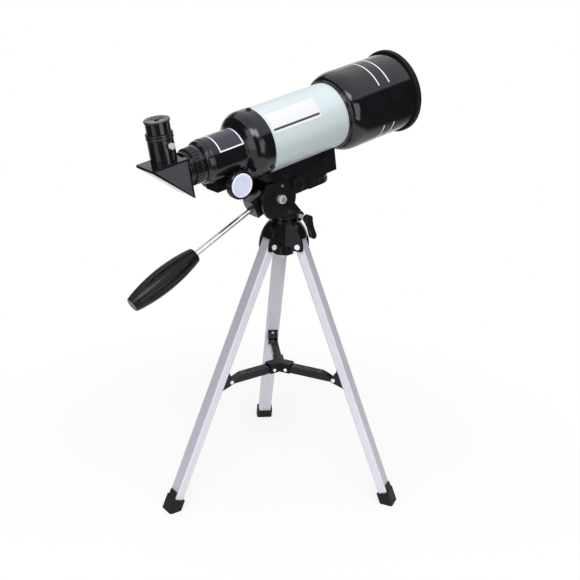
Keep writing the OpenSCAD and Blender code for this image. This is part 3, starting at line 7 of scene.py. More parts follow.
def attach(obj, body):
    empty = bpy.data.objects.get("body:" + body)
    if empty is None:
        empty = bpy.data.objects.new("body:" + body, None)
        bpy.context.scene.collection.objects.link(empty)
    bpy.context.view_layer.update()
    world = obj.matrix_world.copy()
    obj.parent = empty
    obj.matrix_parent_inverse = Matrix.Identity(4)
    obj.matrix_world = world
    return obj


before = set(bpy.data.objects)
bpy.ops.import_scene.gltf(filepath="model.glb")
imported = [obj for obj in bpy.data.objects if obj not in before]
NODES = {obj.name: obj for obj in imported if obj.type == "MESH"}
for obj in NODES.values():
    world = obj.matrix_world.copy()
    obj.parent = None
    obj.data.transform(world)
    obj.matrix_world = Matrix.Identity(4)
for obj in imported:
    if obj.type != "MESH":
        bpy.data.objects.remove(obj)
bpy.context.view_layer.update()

# ---------------------------------------------------------------- places
# the telescope's own frame: X along the optical axis, Z away from the mount
SCOPE_HEIGHT = 0.4435
SCOPE_NOSE_UP = math.radians(11.23)
SCOPE = Matrix.Translation((0, 0, SCOPE_HEIGHT)) @ Matrix.Rotation(-SCOPE_NOSE_UP, 4, "Y")
# the focus knobs' axis: its place along X and Z in that frame
KNOB_AXIS = (-0.0921, -0.0302)
# the legs: their directions round Z in degrees, their lean, and the place of their pivots
LEG_TURNS = {"left": 177.6, "right": 297.6, "back": 57.6}
LEG_SPLAY = math.radians(22.76)
LEG_PIVOT_REACH, LEG_PIVOT_HEIGHT = 0.0222, 0.311


def leg_frame(side):
    """A leg's frame: -Z down the leg from its pivot, X outward."""
    return (Matrix.Rotation(math.radians(LEG_TURNS[side]), 4, "Z")
            @ Matrix.Translation((LEG_PIVOT_REACH, 0, LEG_PIVOT_HEIGHT))
            @ Matrix.Rotation(-LEG_SPLAY, 4, "Y"))


# printed and formed details, and the painted shade under the tube: lengths along the optical axis,
# distances from it, and turns round it from its top toward -Y
TUBE_RADIUS = 0.0375
# the turns round the tube over which painted shade darkens its underside
TUBE_PAINTED_SHADE = (math.radians(84), math.radians(118))
SHIELD_RINGS = ((0.1081, 0.1096), (0.1239, 0.1254))
SHIELD_RING_GAP = (math.radians(54.5), math.radians(115))
SHIELD_BORE_START = 0.0840
SHIELD_BORE_RADIUS, SHIELD_SKIN_RADIUS = 0.0453, 0.0458
FOCUSER_RADIUS = 0.0244
PANEL_ALONG = (-0.1078, -0.0767)
PANEL_TURN = (math.radians(-60), math.radians(62.5))
PANEL_LINE = 0.0014
KNOB_CAP_RIM = (0.0115, 0.0119)
LABEL_ALONG = (-0.0435, 0.0236)
LABEL_TURN = (math.radians(27.0), math.radians(67.8))
LABEL_BAR_ALONG = (-0.0432, 0.0215)
LABEL_BAR_TURN = (math.radians(58.6), math.radians(62.4))
# the label's height over the paint, its corners' radius, the narrow strip at each of its ends, and
# the cuts that let it bend
LABEL_LIFT, LABEL_CORNER, LABEL_EDGE = 0.00012, 0.0016, 0.00016
LABEL_COLUMNS, LABEL_ROWS = 14, 24
# the diagonal's side panel: its half width, and where its grain ends at the slope, nose and top
PRISM_SIDE = 0.01555
PRISM_SLOPE_EDGE, PRISM_NOSE_EDGE, PRISM_TOP_EDGE = -0.1714, -0.1455, 0.0135
# in a leg's frame: the extrusion's outward face, and the pad between the bracket's ears
LEG_FACE = 0.0052
LINER_HALF_WIDTH, LINER_TOP, LINER_FOOT, LINER_CORNER = 0.0053, -0.1709, -0.1819, 0.0010
LINER_FRONT, LINER_BACK = -0.00585, -0.0055


# ---------------------------------------------------------------- finishes
class Nodes:
    """A node tree under construction."""

    def __init__(self, tree):
        self.tree = tree

    def add(self, kind, **settings):
        node = self.tree.nodes.new(kind)
        for name, value in settings.items():
            setattr(node, name, value)
        return node

    def join(self, output, socket):
        self.tree.links.new(output, socket)

    def math(self, kind, *values):
        """A Math node on outputs or numbers."""
        node = self.add("ShaderNodeMath", operation=kind)
        for socket, value in zip(node.inputs, values):
            if isinstance(value, (int, float)):
                socket.default_value = value
            else:
                self.join(value, socket)
        return node.outputs[0]

    def range(self, value, start, end, low, high, kind="LINEAR"):
        """A value carried from start..end to low..high, and held there."""
        node = self.add("ShaderNodeMapRange", interpolation_type=kind)
        for name, number in (("From Min", start), ("From Max", end), ("To Min", low), ("To Max", high)):
            node.inputs[name].default_value = number
        self.join(value, node.inputs["Value"])
        return node.outputs["Result"]


class Finish(Nodes):
    """A node material under construction, with its Principled shader."""

    def __init__(self, name, colour, rough, metal=0.0):
        self.material = bpy.data.materials.new(name)
        self.material.use_nodes = True
        super().__init__(self.material.node_tree)
        self.shader = self.tree.nodes["Principled BSDF"]
        self.shader.inputs["Base Color"].default_value = (*colour, 1)
        self.shader.inputs["Roughness"].default_value = rough
        self.shader.inputs["Metallic"].default_value = metal
        self.place = self.add("ShaderNodeTexCoord").outputs["Object"]
        self.normal = None

    def fed(self, name):
        """The output that feeds an input of the shader."""
        return self.shader.inputs[name].links[0].from_socket

    def seen_from(self, matrix, scale=(1, 1, 1)):
        """Object coordinates turned into another frame, for patterns that follow a piece."""
        mapping = self.add("ShaderNodeMapping")
        back = matrix.inverted()
        mapping.inputs["Location"].default_value = back.to_translation()
        mapping.inputs["Rotation"].default_value = back.to_euler("XYZ")
        self.join(self.place, mapping.inputs["Vector"])
        if scale == (1, 1, 1):
            return mapping.outputs["Vector"]
        stretch = self.add("ShaderNodeVectorMath", operation="MULTIPLY")
        stretch.inputs[1].default_value = scale
        self.join(mapping.outputs["Vector"], stretch.inputs[0])
        return stretch.outputs[0]

    def noise(self, scale, detail=3.0, rough=0.5, place=None):
        """Fine unevenness over the piece, about 0.5."""
        grain = self.add("ShaderNodeTexNoise")
        grain.inputs["Scale"].default_value = scale
        grain.inputs["Detail"].default_value = detail
        grain.inputs["Roughness"].default_value = rough
        self.join(place or self.place, grain.inputs["Vector"])
        return grain.outputs["Fac"]

    def span(self, grain, low, high):
        """The middle part of a noise, spread over a range."""
        return self.range(grain, 0.3, 0.7, low, high)

    def rise(self, value, start, end):
        """0 before start, 1 past end."""
        return self.range(value, start, end, 0, 1)

    def blend(self, share, first, second):
        """Colour or output mixed between two, by a share."""
        mix = self.add("ShaderNodeMix", data_type="RGBA")
        for socket, value in zip((mix.inputs[6], mix.inputs[7]), (first, second)):
            if isinstance(value, tuple):
                socket.default_value = (*value, 1)
            else:
                self.join(value, socket)
        self.join(share, mix.inputs[0])
        return mix.outputs[2]

    def colour(self, output):
        self.join(output, self.shader.inputs["Base Color"])

    def rough(self, output):
        self.join(output, self.shader.inputs["Roughness"])

    def relief(self, output, depth, strength=1.0):
        """A bump, stacked on the ones before it."""
        bump = self.add("ShaderNodeBump")
        bump.inputs["Distance"].default_value = depth
        bump.inputs["Strength"].default_value = strength
        self.join(output, bump.inputs["Height"])
        if self.normal:
            self.join(self.normal, bump.inputs["Normal"])
        self.normal = bump.outputs["Normal"]
        self.join(self.normal, self.shader.inputs["Normal"])

    def soft_edges(self, radius):
        """Rounds the light on sharp corners, as a mould or a tumbled edge does."""
        edge = self.add("ShaderNodeBevel", samples=6)
        edge.inputs["Radius"].default_value = radius
        self.normal = edge.outputs["Normal"]
        self.join(self.normal, self.shader.inputs["Normal"])


def moulded_black(name, low=(0.004, 0.004, 0.005), high=(0.008, 0.008, 0.010), rough=(0.06, 0.10),
                  edge=0.0004, specular=0.5):
    """Gloss black moulding: faint flow marks, a slightly uneven polish and softened edges."""
    finish = Finish(name, low, rough[0])
    finish.shader.inputs["IOR"].default_value = 1.5
    finish.shader.inputs["Specular Tint"].default_value = (0.97, 0.94, 1.0, 1)
    finish.shader.inputs["Specular IOR Level"].default_value = specular
    finish.soft_edges(edge)
    finish.colour(finish.blend(finish.span(finish.noise(55, 4), 0, 1), low, high))
    finish.rough(finish.span(finish.noise(140, 5, 0.6), rough[0], rough[1]))
    finish.relief(finish.noise(260, 2), 0.00002, 0.35)
    return finish


def textured_black(name, low, high, rough, grain, depth, specular=0.5):
    """Matt black with a spark-eroded or rubbery grain."""
    finish = Finish(name, low, rough[0])
    finish.shader.inputs["IOR"].default_value = 1.48
    finish.shader.inputs["Specular IOR Level"].default_value = specular
    finish.soft_edges(0.0004)
    finish.colour(finish.blend(finish.span(finish.noise(90, 4), 0, 1), low, high))
    finish.rough(finish.span(finish.noise(300, 3), rough[0], rough[1]))
    finish.relief(finish.noise(grain, 3, 0.6), depth, 0.7)
    return finish


def bright_metal(name, low, high, rough, metal):
    """Plated steel with fine polishing marks."""
    finish = Finish(name, low, rough[0], metal)
    finish.soft_edges(0.0003)
    finish.colour(finish.blend(finish.span(finish.noise(120, 5), 0, 1), low, high))
    finish.rough(finish.span(finish.noise(260, 4, 0.6), rough[0], rough[1]))
    return finish


def rod_chrome():
    """Bright chrome with faint drawing marks, and a painted reflection that darkens its colour toward its
    glancing edges.
    """
    finish = Finish("bright_chrome", (0.88, 0.88, 0.89), 0.06, 1.0)
    finish.shader.inputs["Specular Tint"].default_value = (0.30, 0.30, 0.32, 1)
    # painted reflection: the colour goes dark grey toward the glancing edges, for the dark outlines of
    # the rod
    facing = finish.add("ShaderNodeLayerWeight")
    facing.inputs["Blend"].default_value = 0.5
    edge = finish.rise(facing.outputs["Facing"], 0.35, 0.70)
    bright = finish.blend(finish.span(finish.noise(120, 5), 0, 1), (0.84, 0.84, 0.85), (0.94, 0.94, 0.95))
    finish.colour(finish.blend(edge, bright, (0.20, 0.20, 0.22)))
    finish.rough(finish.span(finish.noise(260, 4, 0.6), 0.05, 0.10))
    return finish


def leg_metal(side):
    """Satin anodised extrusion with fine die lines down its length, and painted shade that darkens its
    outward face.
    """
    finish = Finish("satin_leg_" + side, (0.60, 0.60, 0.66), 0.4, 0.15)
    finish.shader.inputs["Specular IOR Level"].default_value = 0.3
    finish.soft_edges(0.0005)
    down = finish.seen_from(leg_frame(side), (900, 900, 8))
    lines = finish.noise(1.0, 2, 0.5, down)
    cloud = finish.noise(22, 3)
    tone = finish.math("ADD", finish.span(lines, 0, 0.6), finish.span(cloud, 0, 0.4))
    silver = finish.blend(tone, (0.58, 0.58, 0.64), (0.66, 0.66, 0.72))
    # painted shade: the outward face gets a darker copy of the silver, where less light falls on it
    split = finish.add("ShaderNodeSeparateXYZ")
    finish.join(finish.seen_from(leg_frame(side)), split.inputs[0])
    outward = finish.rise(split.outputs["X"], LEG_FACE - 0.0002, LEG_FACE + 0.0002)
    painted_face_shade = finish.blend(tone, (0.44, 0.44, 0.49), (0.51, 0.51, 0.57))
    finish.colour(finish.blend(outward, silver, painted_face_shade))
    finish.rough(finish.span(lines, 0.36, 0.46))
    finish.relief(lines, 0.00001, 0.4)
    return finish


def around_scope(finish):
    """Distance along the optical axis, and turn round it from the top toward -Y."""
    split = finish.add("ShaderNodeSeparateXYZ")
    finish.join(finish.seen_from(SCOPE), split.inputs[0])
    flipped = finish.math("MULTIPLY", split.outputs["Y"], -1.0)
    return split.outputs["X"], finish.math("ARCTAN2", flipped, split.outputs["Z"])


def band(finish, value, start, end, soft):
    """1 between two values, with soft ends."""
    fall = finish.range(value, end - soft, end + soft, 1, 0)
    return finish.math("MULTIPLY", finish.rise(value, start - soft, start + soft), fall)


def patch(finish, along, turn, reach, arc, soft, turn_soft):
    """1 inside a printed patch, which has a reach along the scope and an arc round it."""
    return finish.math("MULTIPLY", band(finish, along, *reach, soft), band(finish, turn, *arc, turn_soft))


def reach_from(finish, keep, centre):
    """Distance from an axis in the scope's frame: keep holds 1 for the directions across it."""
    across = finish.add("ShaderNodeVectorMath", operation="MULTIPLY_ADD")
    across.inputs[1].default_value = keep
    across.inputs[2].default_value = [-value for value in centre]
    finish.join(finish.seen_from(SCOPE), across.inputs[0])
    radius = finish.add("ShaderNodeVectorMath", operation="LENGTH")
    finish.join(across.outputs[0], radius.inputs[0])
    return radius.outputs["Value"]


def shield_finish():
    """The dew shield's gloss black: two printed white rings, bare on the near side, and a matt bore."""
    finish = moulded_black("gloss_shield", rough=(0.07, 0.10), edge=0.0016)
    along, turn = around_scope(finish)
    rings = finish.math("ADD", *(band(finish, along, *ring, 0.00015) for ring in SHIELD_RINGS))
    printed = finish.math("SUBTRACT", 1.0, band(finish, turn, *SHIELD_RING_GAP, 0.004))
    radius = reach_from(finish, (0, 1, 1), (0, 0, 0))
    outside = finish.rise(radius, SHIELD_BORE_RADIUS, SHIELD_SKIN_RADIUS)
    ink = finish.math("MULTIPLY", finish.math("MULTIPLY", rings, printed), outside)
    bore = finish.math("MULTIPLY", finish.math("SUBTRACT", 1.0, outside),
                       finish.rise(along, SHIELD_BORE_START - 0.0002, SHIELD_BORE_START + 0.0002))
    matt = finish.math("MULTIPLY", bore, 0.6)
    finish.rough(finish.math("ADD", finish.fed("Roughness"), matt))
    finish.colour(finish.blend(ink, finish.fed("Base Color"), (0.92, 0.92, 0.92)))
    return finish


def focuser_finish():
    """The focuser's gloss black with a printed frame round a plain slate panel."""
    finish = moulded_black("gloss_focuser", rough=(0.12, 0.16), edge=0.0016)
    along, turn = around_scope(finish)
    line_turn = PANEL_LINE / FOCUSER_RADIUS
    inner_along = (PANEL_ALONG[0] + PANEL_LINE, PANEL_ALONG[1] - PANEL_LINE)
    inner_turn = (PANEL_TURN[0] + line_turn, PANEL_TURN[1] - line_turn)
    outer = patch(finish, along, turn, PANEL_ALONG, PANEL_TURN, 0.00012, 0.004)
    inner = patch(finish, along, turn, inner_along, inner_turn, 0.00012, 0.004)
    framed = finish.blend(outer, finish.fed("Base Color"), (0.88, 0.88, 0.90))
    fleck = finish.span(finish.noise(900, 2), 0, 1)
    slate = finish.blend(fleck, (0.020, 0.022, 0.034), (0.030, 0.033, 0.048))
    finish.colour(finish.blend(inner, framed, slate))
    return finish


def tube_finish():
    """Pearl pale green paint with a fine fleck, darkened round the underside by painted shade."""
    finish = Finish("pearl_green_tube", (0.61, 0.69, 0.70), 0.34, 0.15)
    finish.shader.inputs["Coat Weight"].default_value = 0.2
    finish.shader.inputs["Coat Roughness"].default_value = 0.12
    fleck = finish.noise(5200, 2, 0.7)
    cloud = finish.noise(16, 3)
    tone = finish.math("ADD", finish.span(fleck, 0, 0.55), finish.span(cloud, 0, 0.45))
    pearl = finish.blend(tone, (0.58, 0.655, 0.67), (0.64, 0.72, 0.735))
    turn = around_scope(finish)[1]
    # painted shade: the colour deepens round the underside, where less light falls
    painted_underside_shade = finish.range(turn, *TUBE_PAINTED_SHADE, 0, 0.8)
    finish.colour(finish.blend(painted_underside_shade, pearl, (0.44, 0.50, 0.51)))
    finish.rough(finish.span(fleck, 0.34, 0.46))
    finish.relief(finish.noise(700, 2), 0.00002, 0.35)
    return finish


def label_finish():
    """Off-white printed label with a dark bar near its lower edge."""
    finish = Finish("printed_label", (0.72, 0.73, 0.75), 0.35)
    along, turn = around_scope(finish)
    bar = patch(finish, along, turn, LABEL_BAR_ALONG, LABEL_BAR_TURN, 0.0001, 0.003)
    paper = finish.blend(finish.span(finish.noise(500, 3), 0, 1), (0.70, 0.71, 0.73), (0.74, 0.75, 0.77))
    finish.colour(finish.blend(bar, paper, (0.035, 0.040, 0.085)))
    finish.rough(finish.span(finish.noise(300, 3), 0.28, 0.4))
    return finish


def pale_cap_finish():
    """Pale lavender cap with a lighter raised rim."""
    finish = Finish("pale_knob_cap", (0.62, 0.66, 0.80), 0.3)
    finish.soft_edges(0.0003)
    radius = reach_from(finish, (1, 0, 1), (KNOB_AXIS[0], 0, KNOB_AXIS[1]))
    rim = finish.rise(radius, *KNOB_CAP_RIM)
    disc = finish.blend(finish.span(finish.noise(60, 4), 0, 1), (0.60, 0.65, 0.80), (0.65, 0.70, 0.84))
    finish.colour(finish.blend(rim, disc, (0.86, 0.86, 0.90)))
    finish.rough(finish.span(finish.noise(400, 4), 0.24, 0.36))
    finish.relief(finish.noise(1500, 2), 0.00001, 0.4)
    return finish


def glass_finish(name, tint, coat):
    """Polished lens glass with a faint coating colour that varies over it."""
    finish = Finish(name, tint, 0.02)
    finish.shader.inputs["Transmission Weight"].default_value = 0.92
    finish.shader.inputs["IOR"].default_value = 1.52
    finish.colour(finish.blend(finish.span(finish.noise(18, 2), 0, 1), tint, coat))
    finish.rough(finish.span(finish.noise(200, 2), 0.01, 0.03))
    return finish


def mirror_finish():
    """Bright aluminised glass, a little uneven."""
    finish = Finish("aluminised_mirror", (0.9, 0.9, 0.92), 0.03, 1.0)
    cloud = finish.span(finish.noise(40, 2), 0, 1)
    finish.colour(finish.blend(cloud, (0.88, 0.88, 0.90), (0.93, 0.93, 0.95)))
    finish.rough(finish.span(finish.noise(300, 3), 0.02, 0.05))
    return finish


def prism_finish():
    """Gloss black with a fine spark-eroded grain on the side panels, inside a gloss rim."""
    finish = moulded_black("gloss_prism", edge=0.0005)
    split = finish.add("ShaderNodeSeparateXYZ")
    finish.join(finish.seen_from(SCOPE), split.inputs[0])
    side = finish.math("ABSOLUTE", split.outputs["Y"])
    panel = finish.rise(side, PRISM_SIDE - 0.00005, PRISM_SIDE + 0.00005)
    slope = finish.math("ADD", split.outputs["X"], split.outputs["Z"])
    for value, edge, inward in ((slope, PRISM_SLOPE_EDGE, 0.0001),
                                (split.outputs["X"], PRISM_NOSE_EDGE, -0.0001),
                                (split.outputs["Z"], PRISM_TOP_EDGE, -0.0001)):
        panel = finish.math("MULTIPLY", panel, finish.rise(value, edge - inward, edge + inward))
    grain = finish.noise(1500, 3, 0.6)
    eroded = finish.blend(finish.span(grain, 0, 1), (0.032, 0.031, 0.036), (0.054, 0.053, 0.060))
    finish.colour(finish.blend(panel, finish.fed("Base Color"), eroded))
    matt = finish.math("MULTIPLY", panel, 0.42)
    finish.rough(finish.math("ADD", finish.fed("Roughness"), matt))
    finish.relief(finish.math("MULTIPLY", grain, panel), 0.00008, 0.7)
    return finish


gloss = moulded_black("gloss_black")
stand_black = moulded_black("stand_black", rough=(0.12, 0.2), edge=0.0005, specular=0.26)
hub_black = moulded_black("hub_black", rough=(0.25, 0.35), edge=0.0005, specular=0.13)
satin_black = moulded_black("satin_black", (0.005, 0.005, 0.006), (0.010, 0.010, 0.012), (0.16, 0.26),
                            0.0005)
prism_black = prism_finish()
grip_black = moulded_black("grip_black", (0.004, 0.004, 0.005), (0.009, 0.009, 0.011), (0.20, 0.30),
                           0.0006, specular=0.2)
rubber = textured_black("black_rubber", (0.007, 0.007, 0.008), (0.014, 0.014, 0.015), (0.42, 0.6),
                        800, 0.00005, specular=0.15)
matt_paint = textured_black("matt_paint", (0.006, 0.006, 0.006), (0.014, 0.014, 0.014), (0.6, 0.8),
                            2200, 0.00003)
chrome = rod_chrome()
polished = bright_metal("polished_screw", (0.84, 0.84, 0.84), (0.94, 0.94, 0.94), (0.20, 0.30), metal=0.4)
# darker steel for the tilt bolt, darker than the nut round it; on the stop screw the dark is painted
# shade for the hole it sits in
darker_steel_and_hole_shade = bright_metal("darker_steel_and_hole_shade", (0.26, 0.26, 0.26), (0.36, 0.36, 0.35), (0.30, 0.42), metal=0.55)
nickel = bright_metal("nickel_screw", (0.74, 0.73, 0.71), (0.86, 0.85, 0.83), (0.30, 0.42), metal=0.55)

WEARS = {
    gloss: ["pinion_housing", "drawtube_collar", "diagonal_nose", "eyepiece_barrel", "eyepiece_top",
            "focus_knob_near", "focus_knob_far"],
    stand_black: ["crown", "leg_bracket_left", "leg_bracket_right", "leg_bracket_back", "brace_arm_left",
                  "brace_arm_right", "brace_arm_back"],
    hub_black: ["brace_hub"],
    satin_black: ["pan_fork", "tilt_body", "mount_foot", "side_knob", "camera_screw", "pan_lock_lever"],
    prism_black: ["diagonal_housing", "diagonal_cover"],
    grip_black: ["handle_grip"],
    rubber: ["leg_foot_left", "leg_foot_right", "leg_foot_back", "shield_rim"],
    matt_paint: ["tube_baffle", "objective_cell", "lens_keeper", "drawtube", "tube_screws"],
    chrome: ["handle_rod"],
    # the stop screw is darkened as painted shade for its hole
    darker_steel_and_hole_shade: ["tilt_bolt", "tilt_stop_screw"],
    polished: ["set_screw", "leg_pivot_rivets", "hub_pins"],
    nickel: ["pan_spindle", "bracket_rivets_left", "bracket_rivets_right", "bracket_rivets_back",
             "tilt_nut", "pan_lock_screw", "foot_bolts", "pinion_shaft"],
    shield_finish(): ["dew_shield"],
    focuser_finish(): ["focuser_body"],
    tube_finish(): ["main_tube"],
    pale_cap_finish(): ["focus_knob_caps"],
    glass_finish("objective_glass", (0.80, 0.92, 0.86), (0.74, 0.80, 0.94)): ["objective_rear_lens",
                                                                            "objective_front_lens"],
    glass_finish("eyepiece_glass", (0.86, 0.92, 0.94), (0.80, 0.84, 0.96)): ["eyepiece_lenses"],
    mirror_finish(): ["diagonal_mirror"],
    leg_metal("left"): ["leg_tube_left"],
    leg_metal("right"): ["leg_tube_right"],
    leg_metal("back"): ["leg_tube_back"],
}
for finish, names in WEARS.items():
    for name in names:
        node = NODES[name]
        node.data.materials.clear()
        node.data.materials.append(finish.material)


# ---------------------------------------------------------------- added pieces
def added_piece(bm, name, finish, body):
    """A new mesh object that rides a body."""
    for face in bm.faces:
        face.smooth = True
    mesh = bpy.data.meshes.new(name)
    bm.to_mesh(mesh)
    bm.free()
    mesh.materials.append(finish.material)
    piece = bpy.data.objects.new(name, mesh)
    bpy.context.scene.collection.objects.link(piece)
    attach(piece, body)


def rounded_pad(length, width, thickness, corner, segments):
    """A flat pad round the origin, with its four upright corners rounded."""
    bm = bmesh.new()
    bmesh.ops.create_cube(bm, size=1.0, matrix=Matrix.Diagonal((length, width, thickness, 1)))
    upright = [edge for edge in bm.edges if abs(edge.verts[0].co.z - edge.verts[1].co.z) > thickness / 2]
    bmesh.ops.bevel(bm, geom=upright, offset=corner, offset_type="OFFSET", segments=segments,
                    profile=0.5, affect="EDGES", material=-1)
    return bm


def cut_across(bm, axis, place):
    """Divides every face that passes a place along an axis."""
    direction = Vector((0, 0, 0))
    direction[axis] = 1
    bmesh.ops.bisect_plane(bm, geom=bm.verts[:] + bm.edges[:] + bm.faces[:], dist=0.000001,
                           plane_co=direction * place, plane_no=direction)


def tube_label():
    """Thin label wrapped on the main tube, with rounded corners and a plain dark bar."""
    length = LABEL_ALONG[1] - LABEL_ALONG[0]
    width = (LABEL_TURN[1] - LABEL_TURN[0]) * TUBE_RADIUS
    bm = rounded_pad(length, width, 2 * LABEL_LIFT, LABEL_CORNER, 5)
    for inset in (LABEL_EDGE, LABEL_CORNER):
        cut_across(bm, 0, inset - length / 2)
        cut_across(bm, 0, length / 2 - inset)
    for column in range(1, LABEL_COLUMNS):
        cut_across(bm, 0, length * (column / LABEL_COLUMNS - 0.5))
    for row in range(1, LABEL_ROWS):
        cut_across(bm, 1, width * (row / LABEL_ROWS - 0.5))
    for vertex in bm.verts:
        along = sum(LABEL_ALONG) / 2 + vertex.co.x
        turn = sum(LABEL_TURN) / 2 - vertex.co.y / TUBE_RADIUS
        radius = TUBE_RADIUS + vertex.co.z
        vertex.co = SCOPE @ Vector((along, -radius * math.sin(turn), radius * math.cos(turn)))
    added_piece(bm, "tube_label", label_finish(), "tilt")


def bracket_liner(side):
    """Thin black pad with rounded corners, on the leg between the bracket's ears."""
    bm = rounded_pad(LINER_TOP - LINER_FOOT, 2 * LINER_HALF_WIDTH, LINER_BACK - LINER_FRONT,
                     LINER_CORNER, 4)
    middle = Vector(((LINER_FRONT + LINER_BACK) / 2, 0, (LINER_TOP + LINER_FOOT) / 2))
    bm.transform(leg_frame(side) @ Matrix.Translation(middle) @ Matrix.Rotation(math.radians(90), 4, "Y"))
    added_piece(bm, "bracket_liner_" + side, stand_black, "leg_" + side)


tube_label()
for side in LEG_TURNS:
    bracket_liner(side)


# ---------------------------------------------------------------- studio
# the white backdrop's side of the studio, and how soon reflections find it over the floor and above
FAR_SIDE = (0.64, 0.77, 0.0)
FAR_FLOOR_EDGE, FAR_WORLD_EDGE = (0.3, 0.8), (0.72, 0.92)
# the floor, by distance from the object's middle
FLOOR_RADIUS = 6
FLOOR_END = (0.50, 0.80)
PALING_EDGE, PALING_NEAR = (0.22, 0.50), 0.75
SHEEN_NEAR = 0.5
# the painted reflection, a white patch on the floor at the left that only glossy rays see: its direction,
# the direction across it, and its soft edges
REFLECTION_AWAY, REFLECTION_ACROSS = (-0.97, -0.24, 0.0), (0.24, -0.97, 0.0)
REFLECTION_NEAR_EDGE, REFLECTION_FAR_EDGE, REFLECTION_SIDE_EDGE = (0.42, 0.46), (1.25, 1.30), (0.26, 0.28)
# the ceiling begins at this share of the way up
CEILING_EDGE = (0.53, 0.585)
WALL_STRENGTH, CEILING_STRENGTH = 0.05, 1.15
# name, place, aim, width, height, watts
SOFTBOXES = (
    ("key_softbox", (-1.05, -1.20, 1.75), (0, 0, 0.3), 1.2, 0.8, 20),
    ("front_softbox", (-0.05, -1.25, 0.45), (0, 0, 0.35), 0.75, 1.1, 6.3),
    ("left_softbox", (-1.22, -0.30, 0.45), (0, 0, 0.35), 0.75, 1.1, 5.0),
)
CAMERA_PLACE = (-0.6798, -0.8241, 0.6588)
CAMERA_AZIMUTH, CAMERA_ELEVATION, CAMERA_ROLL = -0.69888, 0.36496, 0.041
CAMERA_LENS, CAMERA_SENSOR = 59.31, 36


class Stage(Nodes):
    """Nodes for the floor's material or the world."""

    def __init__(self, tree):
        super().__init__(tree)
        rays = self.add("ShaderNodeLightPath")
        self.view, self.glass, self.glossy = (rays.outputs["Is %s Ray" % kind]
                                              for kind in ("Camera", "Transmission", "Glossy"))

    def step(self, value, edge, low=0.0, high=1.0):
        """A smooth change from low to high over an edge."""
        return self.range(value, *edge, low, high, "SMOOTHSTEP")

    def toward(self, place, direction):
        """How far a place or direction lies along another direction."""
        node = self.add("ShaderNodeVectorMath", operation="DOT_PRODUCT")
        self.join(place, node.inputs[0])
        node.inputs[1].default_value = direction
        return node.outputs["Value"]

    def backdrop_rays(self, place, edge):
        """Rays that see the plain white backdrop: the view, glass, and reflections of the far side."""
        mirrored = self.math("MULTIPLY", self.glossy, self.step(self.toward(place, FAR_SIDE), edge))
        return self.math("MAXIMUM", self.math("MAXIMUM", self.view, self.glass), mirrored)

    def show(self, share, first, second, end):
        """Two shaders mixed by a share, at the end of the tree."""
        node = self.add("ShaderNodeMixShader")
        for socket, output in zip(node.inputs, (share, first, second)):
            self.join(output, socket)
        self.join(node.outputs[0], self.tree.nodes[end].inputs["Surface"])


def studio_floor():
    """White floor round the object that goes over into a plain white backdrop.

    Glossy rays also see a sheen near the object, and a painted reflection at the left: a white patch on
    the floor that only they see."""
    bm = bmesh.new()
    bmesh.ops.create_circle(bm, cap_ends=True, radius=FLOOR_RADIUS, segments=96)
    mesh = bpy.data.meshes.new("studio_floor")
    bm.to_mesh(mesh)
    bm.free()
    floor = bpy.data.objects.new("studio_floor", mesh)
    bpy.context.scene.collection.objects.link(floor)
    material = bpy.data.materials.new("studio_white")
    material.cycles.emission_sampling = "NONE"
    material.use_nodes = True
    stage = Stage(material.node_tree)
    shader = stage.tree.nodes["Principled BSDF"]
    shader.inputs["Roughness"].default_value = 0.9
    shader.inputs["Specular IOR Level"].default_value = 0.0
    place = stage.add("ShaderNodeTexCoord").outputs["Object"]
    length = stage.add("ShaderNodeVectorMath", operation="LENGTH")
    stage.join(place, length.inputs[0])
    reach = length.outputs["Value"]
    fade = stage.step(reach, FLOOR_END)
    paint = stage.add("ShaderNodeMix", data_type="RGBA")
    paint.inputs[6].default_value = (0.80, 0.80, 0.80, 1)
    paint.inputs[7].default_value = (0.05, 0.05, 0.05, 1)
    stage.join(fade, paint.inputs[0])
    stage.join(paint.outputs[2], shader.inputs["Base Color"])
    white = stage.add("ShaderNodeEmission")
    share = stage.math("MULTIPLY", fade, stage.backdrop_rays(place, FAR_FLOOR_EDGE))
    paling = stage.math("MULTIPLY", stage.view, stage.step(reach, PALING_EDGE, PALING_NEAR, 1.0))
    sheen = stage.math("MULTIPLY", stage.glossy, stage.step(reach, FLOOR_END, SHEEN_NEAR, 0.0))
    # painted reflection: a white patch on the floor at the left, seen by glossy rays only
    away = stage.toward(place, REFLECTION_AWAY)
    across = stage.math("ABSOLUTE", stage.toward(place, REFLECTION_ACROSS))
    painted_reflection = stage.math("MULTIPLY", stage.glossy, stage.step(away, REFLECTION_NEAR_EDGE))
    painted_reflection = stage.math("MULTIPLY", painted_reflection, stage.step(away, REFLECTION_FAR_EDGE, 1.0, 0.0))
    painted_reflection = stage.math("MULTIPLY", painted_reflection, stage.step(across, REFLECTION_SIDE_EDGE, 1.0, 0.0))
    for more in (paling, sheen, painted_reflection):
        share = stage.math("MAXIMUM", share, more)
    stage.show(share, shader.outputs[0], white.outputs[0], "Material Output")
    mesh.materials.append(material)


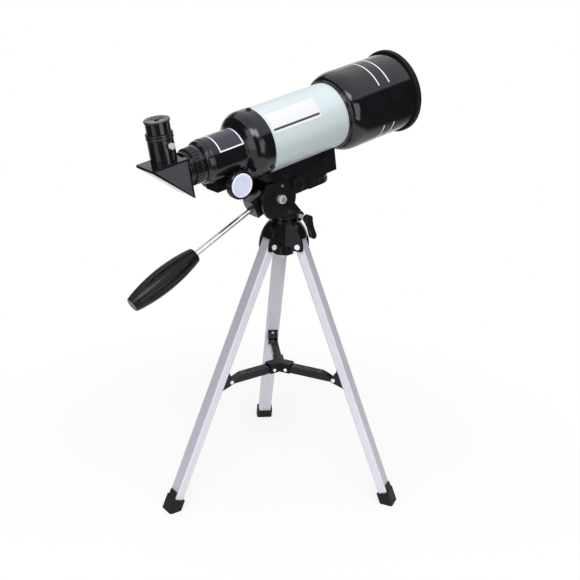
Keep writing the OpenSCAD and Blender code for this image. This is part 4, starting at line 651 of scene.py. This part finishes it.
def studio_world():
    """White ceiling over dim walls for the light, and a plain white backdrop."""
    world = bpy.data.worlds.new("studio")
    bpy.context.scene.world = world
    world.use_nodes = True
    stage = Stage(world.node_tree)
    room = stage.tree.nodes["Background"]
    room.inputs["Color"].default_value = (0.97, 0.97, 1.0, 1)
    direction = stage.add("ShaderNodeTexCoord").outputs["Generated"]
    height = stage.toward(direction, (0, 0, 1))
    ceiling = stage.step(height, CEILING_EDGE, WALL_STRENGTH, CEILING_STRENGTH)
    stage.join(ceiling, room.inputs["Strength"])
    white = stage.add("ShaderNodeBackground")
    white.inputs["Color"].default_value = (1.0, 1.0, 1.0, 1)
    share = stage.backdrop_rays(direction, FAR_WORLD_EDGE)
    stage.show(share, room.outputs[0], white.outputs[0], "World Output")


def softbox(name, at, aim, width, height, watts):
    """Rectangular lamp, out of the camera's sight."""
    lamp = bpy.data.lights.new(name, "AREA")
    lamp.shape = "RECTANGLE"
    lamp.size, lamp.size_y = width, height
    lamp.energy = watts
    holder = bpy.data.objects.new(name, lamp)
    holder.matrix_world = (Matrix.Translation(at)
                           @ (Vector(aim) - Vector(at)).to_track_quat("-Z", "Y").to_matrix().to_4x4())
    holder.visible_camera = False
    bpy.context.scene.collection.objects.link(holder)


def studio_camera():
    """Camera in front of the object and above it, rolled a little."""
    level = math.cos(CAMERA_ELEVATION)
    back = Vector((math.sin(CAMERA_AZIMUTH) * level, -math.cos(CAMERA_AZIMUTH) * level,
                   math.sin(CAMERA_ELEVATION)))
    right = Vector((math.cos(CAMERA_AZIMUTH), math.sin(CAMERA_AZIMUTH), 0))
    up = back.cross(right)
    turned_right = right * math.cos(CAMERA_ROLL) + up * math.sin(CAMERA_ROLL)
    turned_up = up * math.cos(CAMERA_ROLL) - right * math.sin(CAMERA_ROLL)
    camera = bpy.data.cameras.new("camera")
    camera.sensor_width = CAMERA_SENSOR
    camera.lens = CAMERA_LENS
    holder = bpy.data.objects.new("camera", camera)
    turn = Matrix((turned_right, turned_up, back)).transposed().to_4x4()
    holder.matrix_world = Matrix.Translation(CAMERA_PLACE) @ turn
    bpy.context.scene.collection.objects.link(holder)
    bpy.context.scene.camera = holder


studio_floor()
studio_world()
studio_camera()
for box in SOFTBOXES:
    softbox(*box)
bpy.context.scene.view_settings.view_transform = "Standard"
